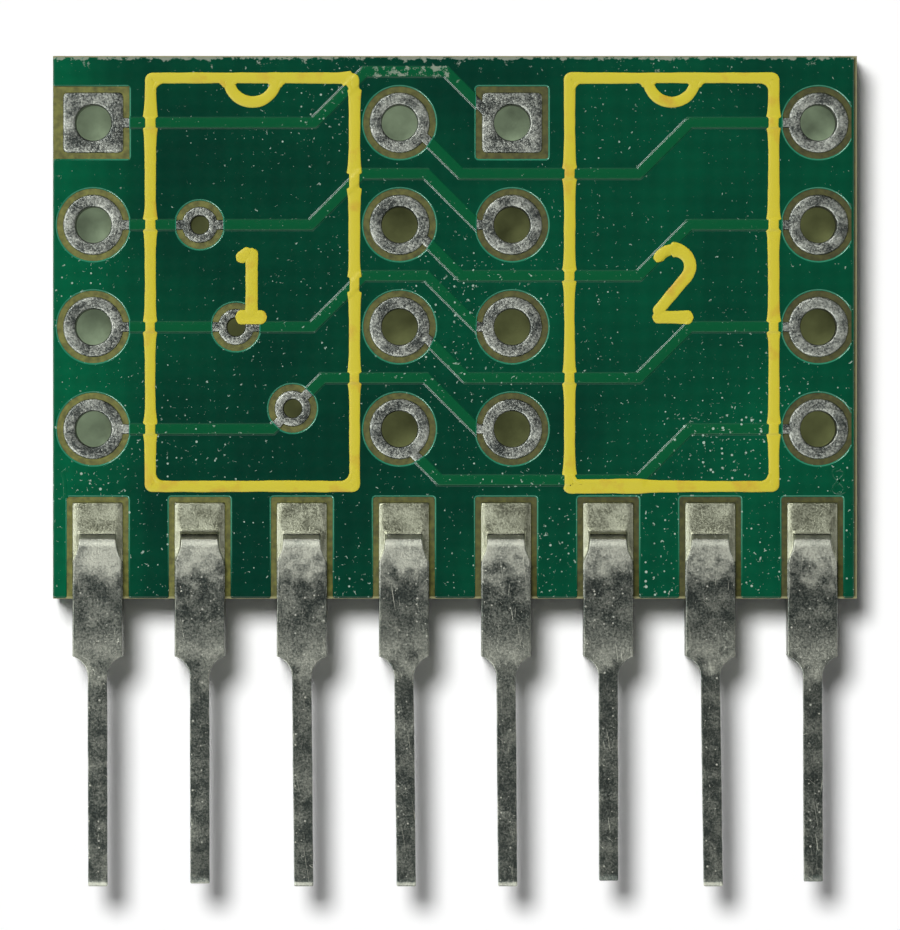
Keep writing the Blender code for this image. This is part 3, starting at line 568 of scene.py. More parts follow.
def add_plated_hole(shell, centre, pad, hole, square, size):
    """Pads of both faces and the plated wall between them: a section in radius and height, turned once
    round the hole. On a square pad the radius is stretched towards r / (|cos|^p + |sin|^p)^(1/p), the more
    the nearer a point is to the pad's rim."""
    outer, inner, turn = pad / 2, hole / 2, quarter(6)
    lip, rim, crown = 0.050, 0.060, np.linspace(0, 1, 6)[1:-1]
    radius = np.r_[
        inner + lip * (1 - np.cos(turn)),
        inner + lip + (outer - rim - inner - lip) * crown,
        outer - rim + rim * np.sin(turn),
        outer - 0.003,
        inner + 0.04,
    ]
    drop = np.r_[
        0.045 * (1 - np.sin(turn)) + 0.003,
        0.003 * (2 * crown - 1) ** 2,
        0.003 + 0.036 * (1 - np.cos(turn)),
        size["copper"],
        size["copper"],
    ]
    out = FIT + size["copper"] - drop
    radius, height = np.r_[radius, radius[::-1]], np.r_[level(out, FRONT), level(out, BACK)[::-1]]
    steps = 96 if square else 56
    turn = np.arange(steps)[:, None] * 2 * math.pi / steps
    power = 16
    stretch = (np.abs(np.cos(turn)) ** power + np.abs(np.sin(turn)) ** power) ** (-1 / power)
    share = np.clip((radius - inner) / (outer - inner), 0, 1) * square
    reach = radius * (1 - share + share * stretch)
    x, y = centre
    grid = np.dstack([x + reach * np.cos(turn), y + reach * np.sin(turn), np.broadcast_to(height, reach.shape)])
    shell.add_grid(grid, "joined")


def add_edge_pad(shell, lead, face, size):
    """An edge pad: a flat slab whose upper rim is a quarter circle carried round its outline."""
    x, rim, turn = LEAD_XS[lead], 0.03, quarter(5)
    outline = soft_corners(box(x - EDGE_PAD_HALF, 0.0, x + EDGE_PAD_HALF, EDGE_PAD_HEIGHT), 0.04)
    rings = [moved_left(outline, across, True) for across in np.r_[0.0, rim * (1 - np.cos(turn))]]
    up = FIT + np.r_[0.0, size["copper"] - rim * (1 - np.sin(turn))]
    shell.add_swept(np.array(rings), up[:, None], face)


def add_track(shell, run, size, face):
    """A flat track with rounded shoulders, carried along a run."""
    top = FIT + size["copper"]
    across = np.array([1.0, 1.0, 0.9, 0.72]) * size["track"] / 2
    up = np.array([FIT, top - 0.022, top - 0.006, top])
    shell.add_swept(rails(run, np.r_[-across, across[::-1]]), np.r_[up, up[::-1]], face)


def make_net(net):
    """All copper of one net: plated holes, via, tracks of both faces and the back's edge pad."""
    size, shell, places = sizes(), Shell(), []
    pads = [(*hole, "", 0.08) for hole in holes()]
    pads += [(place, owner, False, "via_", 0.06) for owner, place in VIAS.items()]
    for centre, owner, square, kind, overlap in pads:
        pad = size[f"{kind}pad"]
        places.append((centre, pad / 2 - overlap, None))
        if owner == net:
            add_plated_hole(shell, centre, pad, size[f"{kind}hole"], square, size)
    for face, routes in ((FRONT, front_routes()), (BACK, back_routes())):
        for run in runs_clear_of(routes[net], places):
            add_track(shell, run, size, face)
    add_edge_pad(shell, net, BACK, size)
    make_piece(f"net_{net + 1}", shell, hot_air_levelled_tin)


def make_edge_pad(lead):
    """The seen side's pad under a lead."""
    shell = Shell()
    add_edge_pad(shell, lead, FRONT, sizes())
    make_piece(f"edge_pad_{lead + 1}", shell, hot_air_levelled_tin)


# Printed ink


def wander(along, seed, total, size):
    """A smooth closed wave along a line: a few sines of whole turns with fixed phases."""
    turns = np.array([3, 7, 12, 19, 31, 47, 71])
    phases = np.array([0.3, 2.1, 4.4, 1.2, 5.3, 3.6, 0.9]) * (1 + seed)
    angles = 2 * math.pi * along[:, None] / total * turns + phases
    return size * (np.sin(angles) / np.sqrt(turns)).sum(axis=1)


def add_ink_line(shell, path, closed, seed, size, width=None):
    """A bead of ink carried along a path: across it the ink's height is (1 - a^4)^(1/2) of its thickness.
    It lies on the lacquer at every point, narrows over a track and spreads beside it, less with distance."""
    width = width or size["ink_line"]
    path = spaced(path, 0.03, closed)
    step = np.linalg.norm(np.diff(path, axis=0, append=path[:1]), axis=1)
    along = np.r_[0.0, np.cumsum(step)[:-1]]
    total = along[-1] + step[-1] if closed else along[-1]
    _, over, nearest = lacquer_surface(path, size)
    narrowed, spread, near, far, fade = 0.12, 0.048, 0.115, 0.135, 0.17
    beside = np.clip((nearest - near) / (far - near), 0, 1) * np.exp(-np.maximum(nearest - far, 0) / fade)
    period = max(total, 20.0)
    half = width / 2 * (1 - narrowed * over) + spread * beside + wander(along, seed, period, 0.008)
    path = moved_left(path, wander(along, seed + 0.5, period, 0.005), closed)
    if not closed:
        from_end = np.clip(np.minimum(along, total - along) / (width / 2), 0.0, 1.0)
        half = half * np.sqrt(np.clip(1 - (1 - from_end) ** 2, 0.02, 1))
    shares = np.array([-1, -0.97, -0.9, -0.75, -0.5, 0, 0.5, 0.75, 0.9, 0.97, 1])
    points = rails(path, [share * half for share in (*shares, 1, -1)], closed)
    foot = lacquer_surface(points.reshape(-1, 2), size)[0].reshape(points.shape[:2])
    # The bead's edges dip just under the lacquer, and its flat underside lies deeper
    bead = FIT + size["ink"] * np.sqrt(np.clip(1 - shares**4, 0, 1))
    lift = np.r_[-0.004, bead[1:-1], -0.004, -0.01, -0.01]
    shell.add_swept(points, foot + lift, FRONT, "joined" if closed else "capped")


def corner_fill(corner, across, up, radius, half=0.14):
    """Path of the ink that fills the corner between two printed lines of a half width: a quarter circle that
    leaves a round corner of the radius on the side given by the signs across and up."""
    reach = arc((half + radius, half + radius), -radius - 0.06, quarter(9))
    return np.asarray(corner) + reach * (across, up)


def numeral_strokes(number):
    """Strokes of a plain 1 or 2, 1.7 mm high, as broken lines about the middle of the numeral."""
    if number == 1:
        return [[(-0.34, 0.56), (0.02, 0.84)], [(0.02, 0.88), (0.02, -0.84)], [(-0.38, -0.84), (0.40, -0.84)]]
    bow = arc((0.02, 0.42), 0.42, np.radians(np.linspace(165, -38, 20)))
    return [[*bow.tolist(), (-0.44, -0.78)], [(-0.50, -0.84), (0.52, -0.84)]]


def make_legend(chip):
    """The printed outline of a chip with its half-round notch, and the chip's number inside it."""
    size, shell = sizes(), Shell()
    x, y = OUTLINE_CENTRES[chip]
    half, high, notch = GRID, 2 * GRID, 0.60
    outline = soft_corners(box(x - half, y - high, x + half, y + high), 0.06, 6)
    add_ink_line(shell, outline, True, chip, size)
    bow = arc((x, y + high), notch, np.radians(np.linspace(183, 357, 27)))
    add_ink_line(shell, bow, False, chip + 2, size, 0.27)
    fills = [((x + half * a, y + high * b), -a, -b, 0.19) for a in (-1, 1) for b in (-1, 1)]
    fills += [((x + notch * a, y + high), a * b, -1, 0.10) for a in (-1, 1) for b in (-1, 1)]
    for corner, across, up, radius in fills:
        add_ink_line(shell, corner_fill(corner, across, up, radius), False, chip + radius, size, 0.12)
    for index, stroke in enumerate(numeral_strokes(chip + 1)):
        add_ink_line(shell, np.array(stroke) + NUMERAL_CENTRES[chip], False, chip + index + 4, size, 0.30)
    make_piece(f"legend_chip_{chip + 1}", shell, screened_marking_ink)


# Leads


def rounded_section(half, thickness, front_radius, back_radius):
    """Corners of a bar's section, row by row: (across, out) for each station, with a quarter circle at each
    corner. Out is measured from the sheet's middle, and the quarter circles' radii may change by station.
    One more point past each quarter circle keeps the shading of the flat faces flat."""
    half, thickness = np.reshape(half, (-1, 1)), np.reshape(thickness, (-1, 1)) / 2
    across, out, turn = [], [], quarter(5)
    corners = ((1, 1, front_radius), (-1, 1, front_radius), (-1, -1, back_radius), (1, -1, back_radius))
    for side, skin, radius in corners:
        radius = np.reshape(radius, (-1, 1))
        round_across = np.hstack([half - radius + radius * np.cos(turn), half - radius - 0.012])
        round_out = np.hstack([thickness - radius + radius * np.sin(turn), thickness + 0 * radius])
        order = slice(None, None, side * skin)
        across.append(side * round_across[:, order])
        out.append(skin * round_out[:, order])
    return np.hstack(across), np.hstack(out)


def add_strip(shell, x, y, rise, tilt, half, front_radius, face, size, shrink):
    """Sheet metal carried along a line in Y and height. At each station the section stands square to the
    line, so a point at (across, out) goes to y - out sin(tilt) and height + out cos(tilt)."""
    x, y, rise, tilt, shrink = (np.reshape(part, (-1, 1)) for part in (x, y, rise, tilt, shrink))
    across, out = rounded_section(half, size["sheet"] - 2 * shrink, front_radius, np.full(len(y), 0.02))
    lift = 3 * FIT + size["copper"] + size["sheet"] / 2
    heights = level(lift + rise + out * np.cos(tilt), face)
    shell.add_grid(np.dstack([x + across, y - out * np.sin(tilt), heights]))


def curled_tip(steps):
    """The upturned tip of a tine or finger: tilt, y and rise of its line, and how far its section shrinks. The
    line turns up by 30 degrees, and the last two stations carry the sheet's rounded cut end."""
    tilt = np.radians(np.r_[np.linspace(0, 30, steps), 30, 30])
    back = np.r_[np.zeros(steps - 1), 0.02, 0.008, 0.0]
    y = CURL_START + CURL_RADIUS * np.sin(tilt) - back * np.cos(tilt)
    rise = CURL_RADIUS * (1 - np.cos(tilt)) - back * np.sin(tilt)
    return np.array([tilt, y, rise, np.r_[np.zeros(steps), CUT_END]])


def front_stations(lead):
    """Stations of a lead's front, from its cut end to the tine's tip: leg, hollow shoulder arcs, the web of
    the saddle, the blade, its taper, neck and curl. Rows: x, y, rise, tilt, half width, shrinkage."""
    lean, end, arc = LEG_LEANS[lead], LEG_TRIMS[lead] - LEG_REACH, 0.54
    sweep = math.acos(1 - (BLADE_HALF - LEG_HALF) / arc)
    foot = SADDLE_END - arc * math.sin(sweep)
    leg_y = np.r_[end, end + 0.008, end + 0.03, np.linspace(end + 0.2, foot, 24)]
    leg_half = LEG_HALF - np.r_[CUT_END[::-1], np.zeros(25)] + wander(leg_y + 9, lead, 14.0, 0.0035)
    turn = np.linspace(0, sweep, 14)[1:]
    shoulder = [0 * turn, foot + arc * np.sin(turn), LEG_HALF + arc * (1 - np.cos(turn))]
    blade = [(-1.42, BLADE_HALF), (-1.38, BLADE_HALF), (-0.05, BLADE_HALF), (-0.005, 0.612), (0.02, 0.60),
             (0.45, 0.60), (0.9275, 0.60), (0.96, 0.592), (1.1675, 0.507), (1.21, 0.492), (CURL_START, TINE_HALF)]
    blade_y, blade_half = np.array(blade).T
    flat = np.hstack([[lean * (foot - leg_y) / (foot - end), leg_y, leg_half], shoulder,
                      [0 * blade_y, blade_y, blade_half]])
    tilt, y, rise, shrink = curled_tip(13)[:, 1:]
    half = TINE_HALF - 0.025 * tilt / tilt[-1] - shrink
    zeros = np.zeros(flat.shape[1])
    front = [flat[0], flat[1], zeros, zeros, flat[2], np.r_[CUT_END[::-1], zeros[2:]]]
    return np.hstack([front, [0 * tilt, y, rise, tilt, half, shrink]])


def make_lead(lead):
    """One folded lead: the front strip, two side walls with their rear flaps, and two rear fingers."""
    size, shell, centre = sizes(), Shell(), LEAD_XS[lead]
    x, y, rise, tilt, half, shrink = front_stations(lead)
    folded = np.clip(np.minimum(y + 1.41, -0.02 - y) / 0.06, 0, 1)
    front_radius = size["cut_edge"] + (size["saddle_fold"] - size["cut_edge"]) * folded - shrink * 0.5
    add_strip(shell, centre + x, y, rise, tilt, half, front_radius, FRONT, size, shrink)
    skin = 3 * FIT + size["copper"] + size["sheet"]
    top, low, radius = level(skin, FRONT), level(skin, BACK), size["fold"]
    outside = BLADE_HALF + 0.0005
    bend = arc((outside - radius, low + radius), radius, -quarter(9))
    corner = arc((0.33, low + 0.29), 0.04, -quarter(5)[::-1])
    wall = np.vstack([
        [(outside, top - radius - 0.005)], bend, [(0.14, low), (0.12, low + 0.02), (0.12, low + 0.23)],
        [(0.14, low + 0.25)], corner, [(0.37, top - 0.2), (0.45, top - 0.12)],
    ])
    tip_tilt, tip_y, tip_rise, tip = np.hstack([[[0, 0], [-0.06, 0.6], [0, 0], [0, 0]], curled_tip(9)])
    finger_half = 0.20 - 0.02 * tip_tilt / tip_tilt[-1] - tip
    ends = ((SADDLE_END, 0.02), (SADDLE_END + 0.006, 0.006), (SADDLE_END + 0.02, 0.0),
            (-0.025, 0.0), (-0.011, 0.006), (-0.005, 0.02))
    for side in (-1, 1):
        rows = []
        for place, inset in ends:
            ring = moved_left(wall, -inset, True)
            rows.append(np.column_stack([centre + side * ring[:, 0], np.full(len(ring), place), ring[:, 1]]))
        shell.add_grid(np.array(rows))
        add_strip(shell, centre + side * 0.32, tip_y, tip_rise, tip_tilt, finger_half,
                  size["cut_edge"] - tip * 0.5, BACK, size, tip)
    make_piece(f"lead_clip_{lead + 1}", shell, tin_plated_spring_sheet)


# Solder


def even_path(points, count):
    """Points spaced evenly along a broken line."""
    points = np.asarray(points, float)
    along = np.r_[0, np.cumsum(np.linalg.norm(np.diff(points, axis=0), axis=1))]
    places = np.linspace(0, along[-1], count)
    return np.column_stack([np.interp(places, along, points[:, axis]) for axis in (0, 1)])


def round_tine(flank, corner, end):
    """A path up a flank, round a corner and across an end, then down the other side as its mirror image."""
    up = np.vstack([even_path(flank, 14), [corner]])
    return np.vstack([up, even_path([end, (-end[0], end[1])], 18), up[::-1] * (-1, 1)])


def make_front_solder(lead):
    """A pool between the tine and the pad's rim: 0.04 mm high and nearly flat, it climbs the tine as
    e^(-d / 0.055) with the distance d from it, by another amount on each lead, and ends in a rounded rim.
    Both its edges are paths that start at one flank of the tine and end at the other."""
    size, shell = sizes(), Shell()
    rim, high = SOLDER_HALF, SOLDER_TOP
    inside = round_tine([(0.605, 0.9275), (0.51, 1.1675), (0.485, CURL_START), (0.462, 1.56)], (0.45, 1.605),
                        (0.42, 1.605))
    outside = round_tine([(rim, 0.9275), (rim, 1.1675), (rim, 1.45), (rim, high - 0.06)],
                         (rim - 0.018, high - 0.018), (rim - 0.06, high))
    share, turn = np.linspace(0, 1, 13), quarter(5)[1:]
    start, width = inside[:, None], (outside - inside)[:, None]
    plan = start + width * (share**1.5 * 0.97)[None, :, None]
    away = np.linalg.norm(plan - start, axis=2)
    lumps = 0.006 * np.sin(plan[..., 0] * 7 + lead * 2.1) * np.sin(plan[..., 1] * 5 + lead)
    room = np.sqrt(np.clip(1 - away / np.linalg.norm(width, axis=2), 0, 1))
    # Beside the tine it hardly climbs, and towards the pad's sides it falls off
    climb = SOLDER_CLIMBS[lead] * (1 - 0.8 * np.clip((1.57 - inside[:, 1:]) / 0.1, 0, 1))
    fall = 0.020 * np.clip((np.abs(plan[..., 0]) - 0.50) / 0.11, 0, 1) ** 1.5
    up = 0.040 - fall + climb * np.exp(-away / 0.055) * room + lumps * room
    rim_plan = start + width * (0.97 + 0.03 * np.sin(turn))[None, :, None]
    plan = np.concatenate([plan, rim_plan, outside[:, None], start], axis=1) + (LEAD_XS[lead], 0.0)
    up = np.hstack([up, up[:, -1:] * np.cos(turn), np.full((len(inside), 2), -0.003)])
    shell.add_swept(plan, 2 * FIT + size["copper"] + up, FRONT)
    make_piece(f"solder_front_{lead + 1}", shell, tin_lead_solder, sharp=60)


def make_rear_solder(lead):
    """A bar of solder past the rear fingers with a tongue between them: a dome across, 1 - 0.6 a^2, whose
    half width opens from the tongue's to the pad's and whose crest rises to the fingers' tips and falls."""
    size, shell = sizes(), Shell()
    y = np.r_[np.linspace(0.80, 1.60, 14), 1.607, 1.612, 1.625, 1.65, np.linspace(1.70, 2.33, 14), 2.37, SOLDER_TOP]
    half = np.interp(y, [0.80, 0.86, 1.605, 1.612, 1.65, 2.33, SOLDER_TOP],
                     [0.07, 0.112, 0.112, 0.56, SOLDER_HALF, SOLDER_HALF, 0.58])
    fall = np.clip((y - 1.65) / (SOLDER_TOP - 1.65), 0, 1)
    rising = np.interp(y, [0.80, 1.0, 1.5, 1.65], [0.03, 0.08, 0.17, 0.19])
    crest = np.where(y > 1.65, 0.035 + 0.155 * (1 - fall) ** 1.6, rising)
    across = np.sin(np.linspace(-math.pi / 2, math.pi / 2, 17))
    up = crest[:, None] * (1 - 0.6 * across**2) * np.sqrt(np.clip(1 - across**10, 0.02, 1))
    up = np.hstack([up, np.full((len(y), 2), -0.003)])
    x = LEAD_XS[lead] + half[:, None] * np.r_[across, across[-1], across[0]]
    shell.add_swept(np.dstack([x, np.broadcast_to(y[:, None], x.shape)]), 2 * FIT + size["copper"] + up, BACK)
    make_piece(f"solder_rear_{lead + 1}", shell, tin_lead_solder, sharp=60)


# Finishes


def feed(tree, node, inputs):
    """Gives a node its inputs. An input is a value, or an output of another node to link."""
    for key, value in inputs.items():
        if isinstance(value, bpy.types.NodeSocket):
            tree.links.new(value, node.inputs[key])
        else:
            node.inputs[key].default_value = value


def add_node(tree, kind, inputs=(), **settings):
    """Adds a node with its settings and inputs."""
    made = tree.nodes.new(f"ShaderNode{kind}")
    for key, value in settings.items():
        setattr(made, key, value)
    feed(tree, made, dict(inputs))
    return made


def tint_of(key):
    """A colour of the panel."""
    return tuple(getattr(bpy.context.scene.adapter_finishes, key))


class Finish:
    """A new material and its tree. Place is the object's own coordinates in millimetres, split in x and y."""

    def __init__(self, name):
        self.material = bpy.data.materials.new(name)
        self.material.use_nodes = True
        self.tree = self.material.node_tree
        self.tree.nodes.clear()
        self.shader = self.node("BsdfPrincipled")
        self.node("OutputMaterial", {"Surface": self.shader.outputs[0]})
        own = self.node("TexCoord").outputs["Object"]
        self.place = self.node("Mapping", {"Vector": own, "Scale": (1000, 1000, 1000)}).outputs[0]
        self.x, self.y, _ = self.node("SeparateXYZ", {0: self.place}).outputs

    def node(self, kind, inputs=(), **settings):
        return add_node(self.tree, kind, inputs, **settings)

    def math(self, operation, *values, **settings):
        """One math operation on values."""
        return self.node("Math", enumerate(values), operation=operation, **settings).outputs[0]

    def chain(self, operation, first, *others):
        """Several values added or compared, one after another."""
        for other in others:
            first = self.math(operation, first, other)
        return first

    def mapped(self, value, low, high, least=0.0, most=1.0):
        """A value carried from the span low to high to the span least to most, and held inside it."""
        spans = {"Value": value, "From Min": low, "From Max": high, "To Min": least, "To Max": most}
        return self.node("MapRange", spans).outputs[0]

    def mix(self, share, first, second):
        """The first colour at share 0, the second at 1."""
        return self.node("Mix", {0: share, 6: first, 7: second}, data_type="RGBA").outputs[2]

    def scaled(self, colour, amount):
        """A colour times an amount."""
        return self.node("VectorMath", {0: colour, 3: amount}, operation="SCALE").outputs[0]

    def noise(self, scale, detail, roughness=0.5, distortion=0.0, place=None):
        """Soft noise, in cycles to a millimetre."""
        inputs = {"Scale": scale, "Detail": detail, "Roughness": roughness, "Distortion": distortion}
        return self.node("TexNoise", {"Vector": place or self.place, **inputs}).outputs["Fac"]

    def threads(self, direction, scale, distortion, detail, detail_scale):
        """Waves across a direction, for cloth and plies."""
        inputs = {"Scale": scale, "Distortion": distortion, "Detail": detail, "Detail Scale": detail_scale}
        return self.node("TexWave", {"Vector": self.place, **inputs}, bands_direction=direction).outputs["Fac"]

    def specks(self, scale, least, full, reach, most, density=1.0):
        """Round specks, one in a part of the cells of a pattern: a cell's chance times the density, from least
        to full, gives the speck's radius up to reach, in cells. Most is how far a speck covers."""
        inputs = {"Vector": self.place, "Scale": scale, "Randomness": 1.0}
        cells = self.node("TexVoronoi", inputs, voronoi_dimensions="2D")
        chance = self.node("SeparateColor", {0: cells.outputs["Color"]}).outputs[0]
        radius = self.mapped(self.math("MULTIPLY", chance, density), least, full, 0.0, reach)
        return self.mapped(self.math("SUBTRACT", radius, cells.outputs["Distance"]), 0.0, 0.05, 0.0, most)

    def close(self, inputs, bump=None):
        """The material, its shader fed with inputs and with a bump of a height, a strength and a distance."""
        if bump:
            bump = self.node("Bump", zip(("Height", "Strength", "Distance"), bump))
            inputs = {**inputs, "Normal": bump.outputs[0]}
        feed(self.tree, self.shader, inputs)
        return self.material


def green_solder_lacquer(name):
    """Liquid photo-imageable lacquer, curtain-coated and cured: a thin glossy green film. The laminate's
    weave shows faintly through it, it looks lighter over copper and teal where it thins at an opening, and
    dust and fine scuffs lie on it."""
    look = Finish(name)
    cover = look.node("Attribute", attribute_name="cover").outputs["Fac"]
    # Lighter towards the left side, and a little lighter towards the right
    left, right = look.mapped(look.x, -7.5, -10.5, 0.0, 0.75), look.mapped(look.x, 0.0, 6.0, 0.0, 0.16)
    light = look.mapped(look.chain("ADD", look.noise(0.22, 3.0), left, right), 0.41, 1.1)
    base = look.mix(light, tint_of("lacquer_deep"), tint_of("lacquer_light"))
    # Glass cloth: threads about 0.45 mm apart both ways, seen through the film
    weave = [look.threads(direction, 0.70, 1.2, 1.0, 2.0) for direction in ("X", "Y")]
    fine = look.noise(9.0, 4.0)
    cloth = look.chain("ADD", *weave, fine)
    woven = look.scaled(base, look.mapped(cloth, 0.6, 2.4, 0.93, 1.07))
    on_track = look.node("Clamp", {"Value": cover}).outputs[0]
    tracked = look.mix(look.math("MULTIPLY", on_track, 0.88), woven, tint_of("lacquer_track"))
    rimmed = look.mix(look.mapped(cover, -0.05, -0.45, 0.0, 0.95), tracked, tint_of("lacquer_rim"))
    # Dust: specks of 0.02 to 0.07 mm in cells of two sizes, denser in drifts and low on the board, and lint
    low = look.mapped(look.y, 10.0, -3.0, 0.17, 0.27)
    thick = look.math("MULTIPLY_ADD", look.noise(0.30, 2.0), 0.5, low)
    specks = [look.specks(scale, least, 0.62, reach, 0.8, thick)
              for scale, least, reach in ((2.2, 0.37, 0.11), (4.2, 0.35, 0.18))]
    lint = look.math("MULTIPLY_ADD", thick, 0.35, look.noise(11.0, 2.0, distortion=0.6))
    # Handling wears the lacquer along the board's upper edge, and on the tracks there down to the metal
    raised = look.math("MULTIPLY", on_track, look.mapped(look.y, 9.60, 9.80, 0.0, 0.13))
    upper, edge = look.mapped(look.y, 9.70, 10.25, 0.0, 0.07), look.mapped(look.y, 10.20, 10.26, 0.0, 0.16)
    worn = look.chain("ADD", upper, look.noise(5.0, 5.0, 0.7), edge, raised)
    worn = look.mapped(worn, 0.68, 0.76, 0.0, 0.7)
    speck = look.chain("MAXIMUM", *specks, look.mapped(lint, 0.865, 0.92, 0.0, 0.6), worn)
    pale = look.mix(worn, tint_of("dust"), tint_of("worn"))
    rough = look.math("ADD", look.mapped(fine, 0.3, 0.7, 0.12, 0.20), speck)
    return look.close({"Base Color": look.mix(speck, rimmed, pale), "Roughness": rough, "IOR": 1.5},
                      (cloth, 0.10, 0.00001))


def routed_glass_epoxy(name):
    """Glass-epoxy laminate, routed to size: olive resin over woven glass, with pale fibre plies along its
    cut edges."""
    look = Finish(name)
    noise = look.noise(7.0, 5.0)
    # Eight plies through the board, about 0.19 mm each
    plies = look.threads("Z", 1.65, 0.6, 2.0, 3.0)
    upright = look.node("SeparateXYZ", {0: look.node("NewGeometry").outputs["Normal"]}).outputs["Z"]
    side = look.mapped(look.math("ABSOLUTE", upright), 0.6, 0.4)
    edge = look.mix(look.math("MULTIPLY", plies, noise), tint_of("laminate"), tint_of("laminate_edge"))
    # The bare face is yellower at the left side and darker to the right
    along = look.mapped(look.x, -9.5, 4.0, 1.15, 0.45)
    amount = look.math("MULTIPLY", along, look.mapped(noise, 0.3, 0.7, 0.6, 1.4))
    face = look.scaled(tint_of("laminate")[:3], amount)
    # Cut fibres fray pale along the upper, the lower and the right edge
    border = look.math("ABSOLUTE", look.math("ADD", look.y, -3.575))
    beside = look.mapped(look.x, BOARD_RIGHT - 0.05, BOARD_RIGHT - 0.02, 0.0, 0.6)
    frayed = look.math("MAXIMUM", look.mapped(border, 6.68, 6.72, 0.0, 0.7), beside)
    face = look.mix(frayed, face, tint_of("laminate_edge"))
    inputs = {"Base Color": look.mix(side, face, edge), "Roughness": look.mapped(noise, 0.0, 1.0, 0.45, 0.8),
              "IOR": 1.55, "Specular IOR Level": 0.25}
    return look.close(inputs, (plies, 0.3, 0.00002))


def metal(name, bright, dull, base, blotch, speckle, scratch, relief, rough, along_lead=False):
    """A soft tin surface between dull and smooth (0) and bright and frosted (1). The share starts at base and
    changes by blotches of about 0.4 mm, by a speckle of 0.04 mm and by fine scratches, all as given."""
    look = Finish(name)
    patches, fine = look.noise(2.4, 4.0, 0.55), look.noise(22.0, 3.0, 0.7)
    share = look.math("ADD", look.mapped(patches, 0.3, 0.7, base - blotch, base + blotch),
                      look.mapped(fine, 0.32, 0.68, -speckle, speckle))
    if along_lead:
        # Fingers and sockets polish the blade's middle and the leg; tip and shoulders keep their frost, and
        # the sheared ends of the legs are bright
        wavy = look.math("MULTIPLY_ADD", patches, 1.6, look.y)
        tip = look.mapped(wavy, -2.1, -1.3, 0.0, 0.64)
        shoulder = look.mapped(look.math("ABSOLUTE", look.math("ADD", wavy, 3.75)), 0.75, 0.15, 0.0, 0.34)
        sheared = look.mapped(look.y, -10.21, -10.24, 0.0, 0.6)
        share = look.math("ADD", share, look.chain("ADD", tip, shoulder, sheared))
    lines = []
    # Scratches 0.02 to 0.03 mm wide, nearly along the leads and across them, and small dents
    for turn, width, reach, least in ((0.16, 0.026, 1.1, 0.745), (-0.10, 0.022, 0.8, 0.755),
                                      (0.90, 0.022, 0.5, 0.765), (0.0, 0.07, 0.07, 0.76)):
        drawn = {"Vector": look.place, "Scale": (width, reach, 0.3), "Rotation": (0.0, 0.0, turn)}
        line = look.noise(1.0, 1.0, 0.4, place=look.node("Mapping", drawn, vector_type="TEXTURE").outputs[0])
        lines.append(look.mapped(line, least, least + 0.06, 0.0, scratch))
    cut = look.chain("MAXIMUM", *lines)
    share = look.math("ADD", share, cut, use_clamp=True)
    metallic = 1.0
    if along_lead:
        # Grains of pale dust, 0.03 to 0.07 mm, in a part of a pattern of cells 0.23 mm wide
        grain = look.specks(4.3, 0.42, 1.0, 0.14, 0.9)
        share = look.math("MAXIMUM", share, grain)
        metallic = look.math("SUBTRACT", 1.0, grain)
    inputs = {"Base Color": look.mix(share, tint_of(dull), tint_of(bright)), "Metallic": metallic,
              "Roughness": look.mapped(share, 0.0, 1.0, *rough)}
    return look.close(inputs, (look.math("SUBTRACT", fine, cut), 0.6, relief))


def hot_air_levelled_tin(name):
    """Tin-lead levelled with hot air on copper: a grey frosted film, speckled dark and beige."""
    return metal(name, "tin", "tin_dark", 0.36, 0.36, 0.50, 0.0, 0.00002, (0.34, 0.52))


def tin_plated_spring_sheet(name):
    """Tin-plated spring brass, stamped and folded: bright plating dulled to slate by handling, with fine
    speckle and scratches along each lead."""
    return metal(name, "sheet", "sheet_worn", 0.20, 0.24, 0.28, 1.3, 0.000014, (0.28, 0.48), True)


def tin_lead_solder(name):
    """Tin-lead solder, reflowed: smooth, with a frosted skin and beige flux stains."""
    return metal(name, "solder", "solder_dull", 0.50, 0.50, 0.50, 0.3, 0.000015, (0.30, 0.52))


def screened_marking_ink(name):
    """Two-part epoxy marking ink, screened: an opaque matt yellow bead, ochre where it lies thick."""
    look = Finish(name)
    thick, grit = look.mapped(look.noise(1.6, 4.0), 0.56, 0.72), look.noise(14.0, 3.0)
    inputs = {"Base Color": look.mix(thick, tint_of("ink"), tint_of("ink_thick")),
              "Roughness": look.mapped(grit, 0.0, 1.0, 0.35, 0.65)}
    return look.close(inputs, (grit, 0.5, 0.00001))


def matt_white_paper(name):
    """Matt white paper under the object: no gloss, a faint fibre."""
    look = Finish(name)
    colour = look.mix(look.noise(0.4, 2.0), linear("#FDFDFD"), linear("#FFFFFF"))
    return look.close({"Base Color": colour, "Roughness": 1.0, "Specular IOR Level": 0.0})


def grey_green_card(name):
    """Card that stands in for the shade under the board seen through the drilled holes: painted shade, olive, with
    painted light making it lighter and grey-green towards the upper and left edges; matt, with a mottle.
    Its emission is a painted glow for the light that reaches the floor under the board."""
    look = Finish(name)
    # Painted light: lighter grey-green under the top row and the left column of holes
    grey = look.math("MAXIMUM", look.mapped(look.y, 6.8, 8.0, 0.0, 0.85),
                     look.mapped(look.x, -7.5, -8.8, 0.0, 0.85))
    mottle = look.mapped(look.noise(1.1, 4.0), 0.3, 0.7, 0.6, 1.4)
    colour = look.scaled(look.mix(grey, linear("#464A2E"), linear("#687661")), mottle)
    # Painted light: the faint emission is a glow standing in for light under the board
    return look.close({"Base Color": colour, "Emission Color": colour, "Emission Strength": 0.9, "Roughness": 0.9})


def finish(maker):
    """The material that a function makes, named like the function and made on its first use."""
    return bpy.data.materials.get(maker.__name__) or maker(maker.__name__)


# Stage


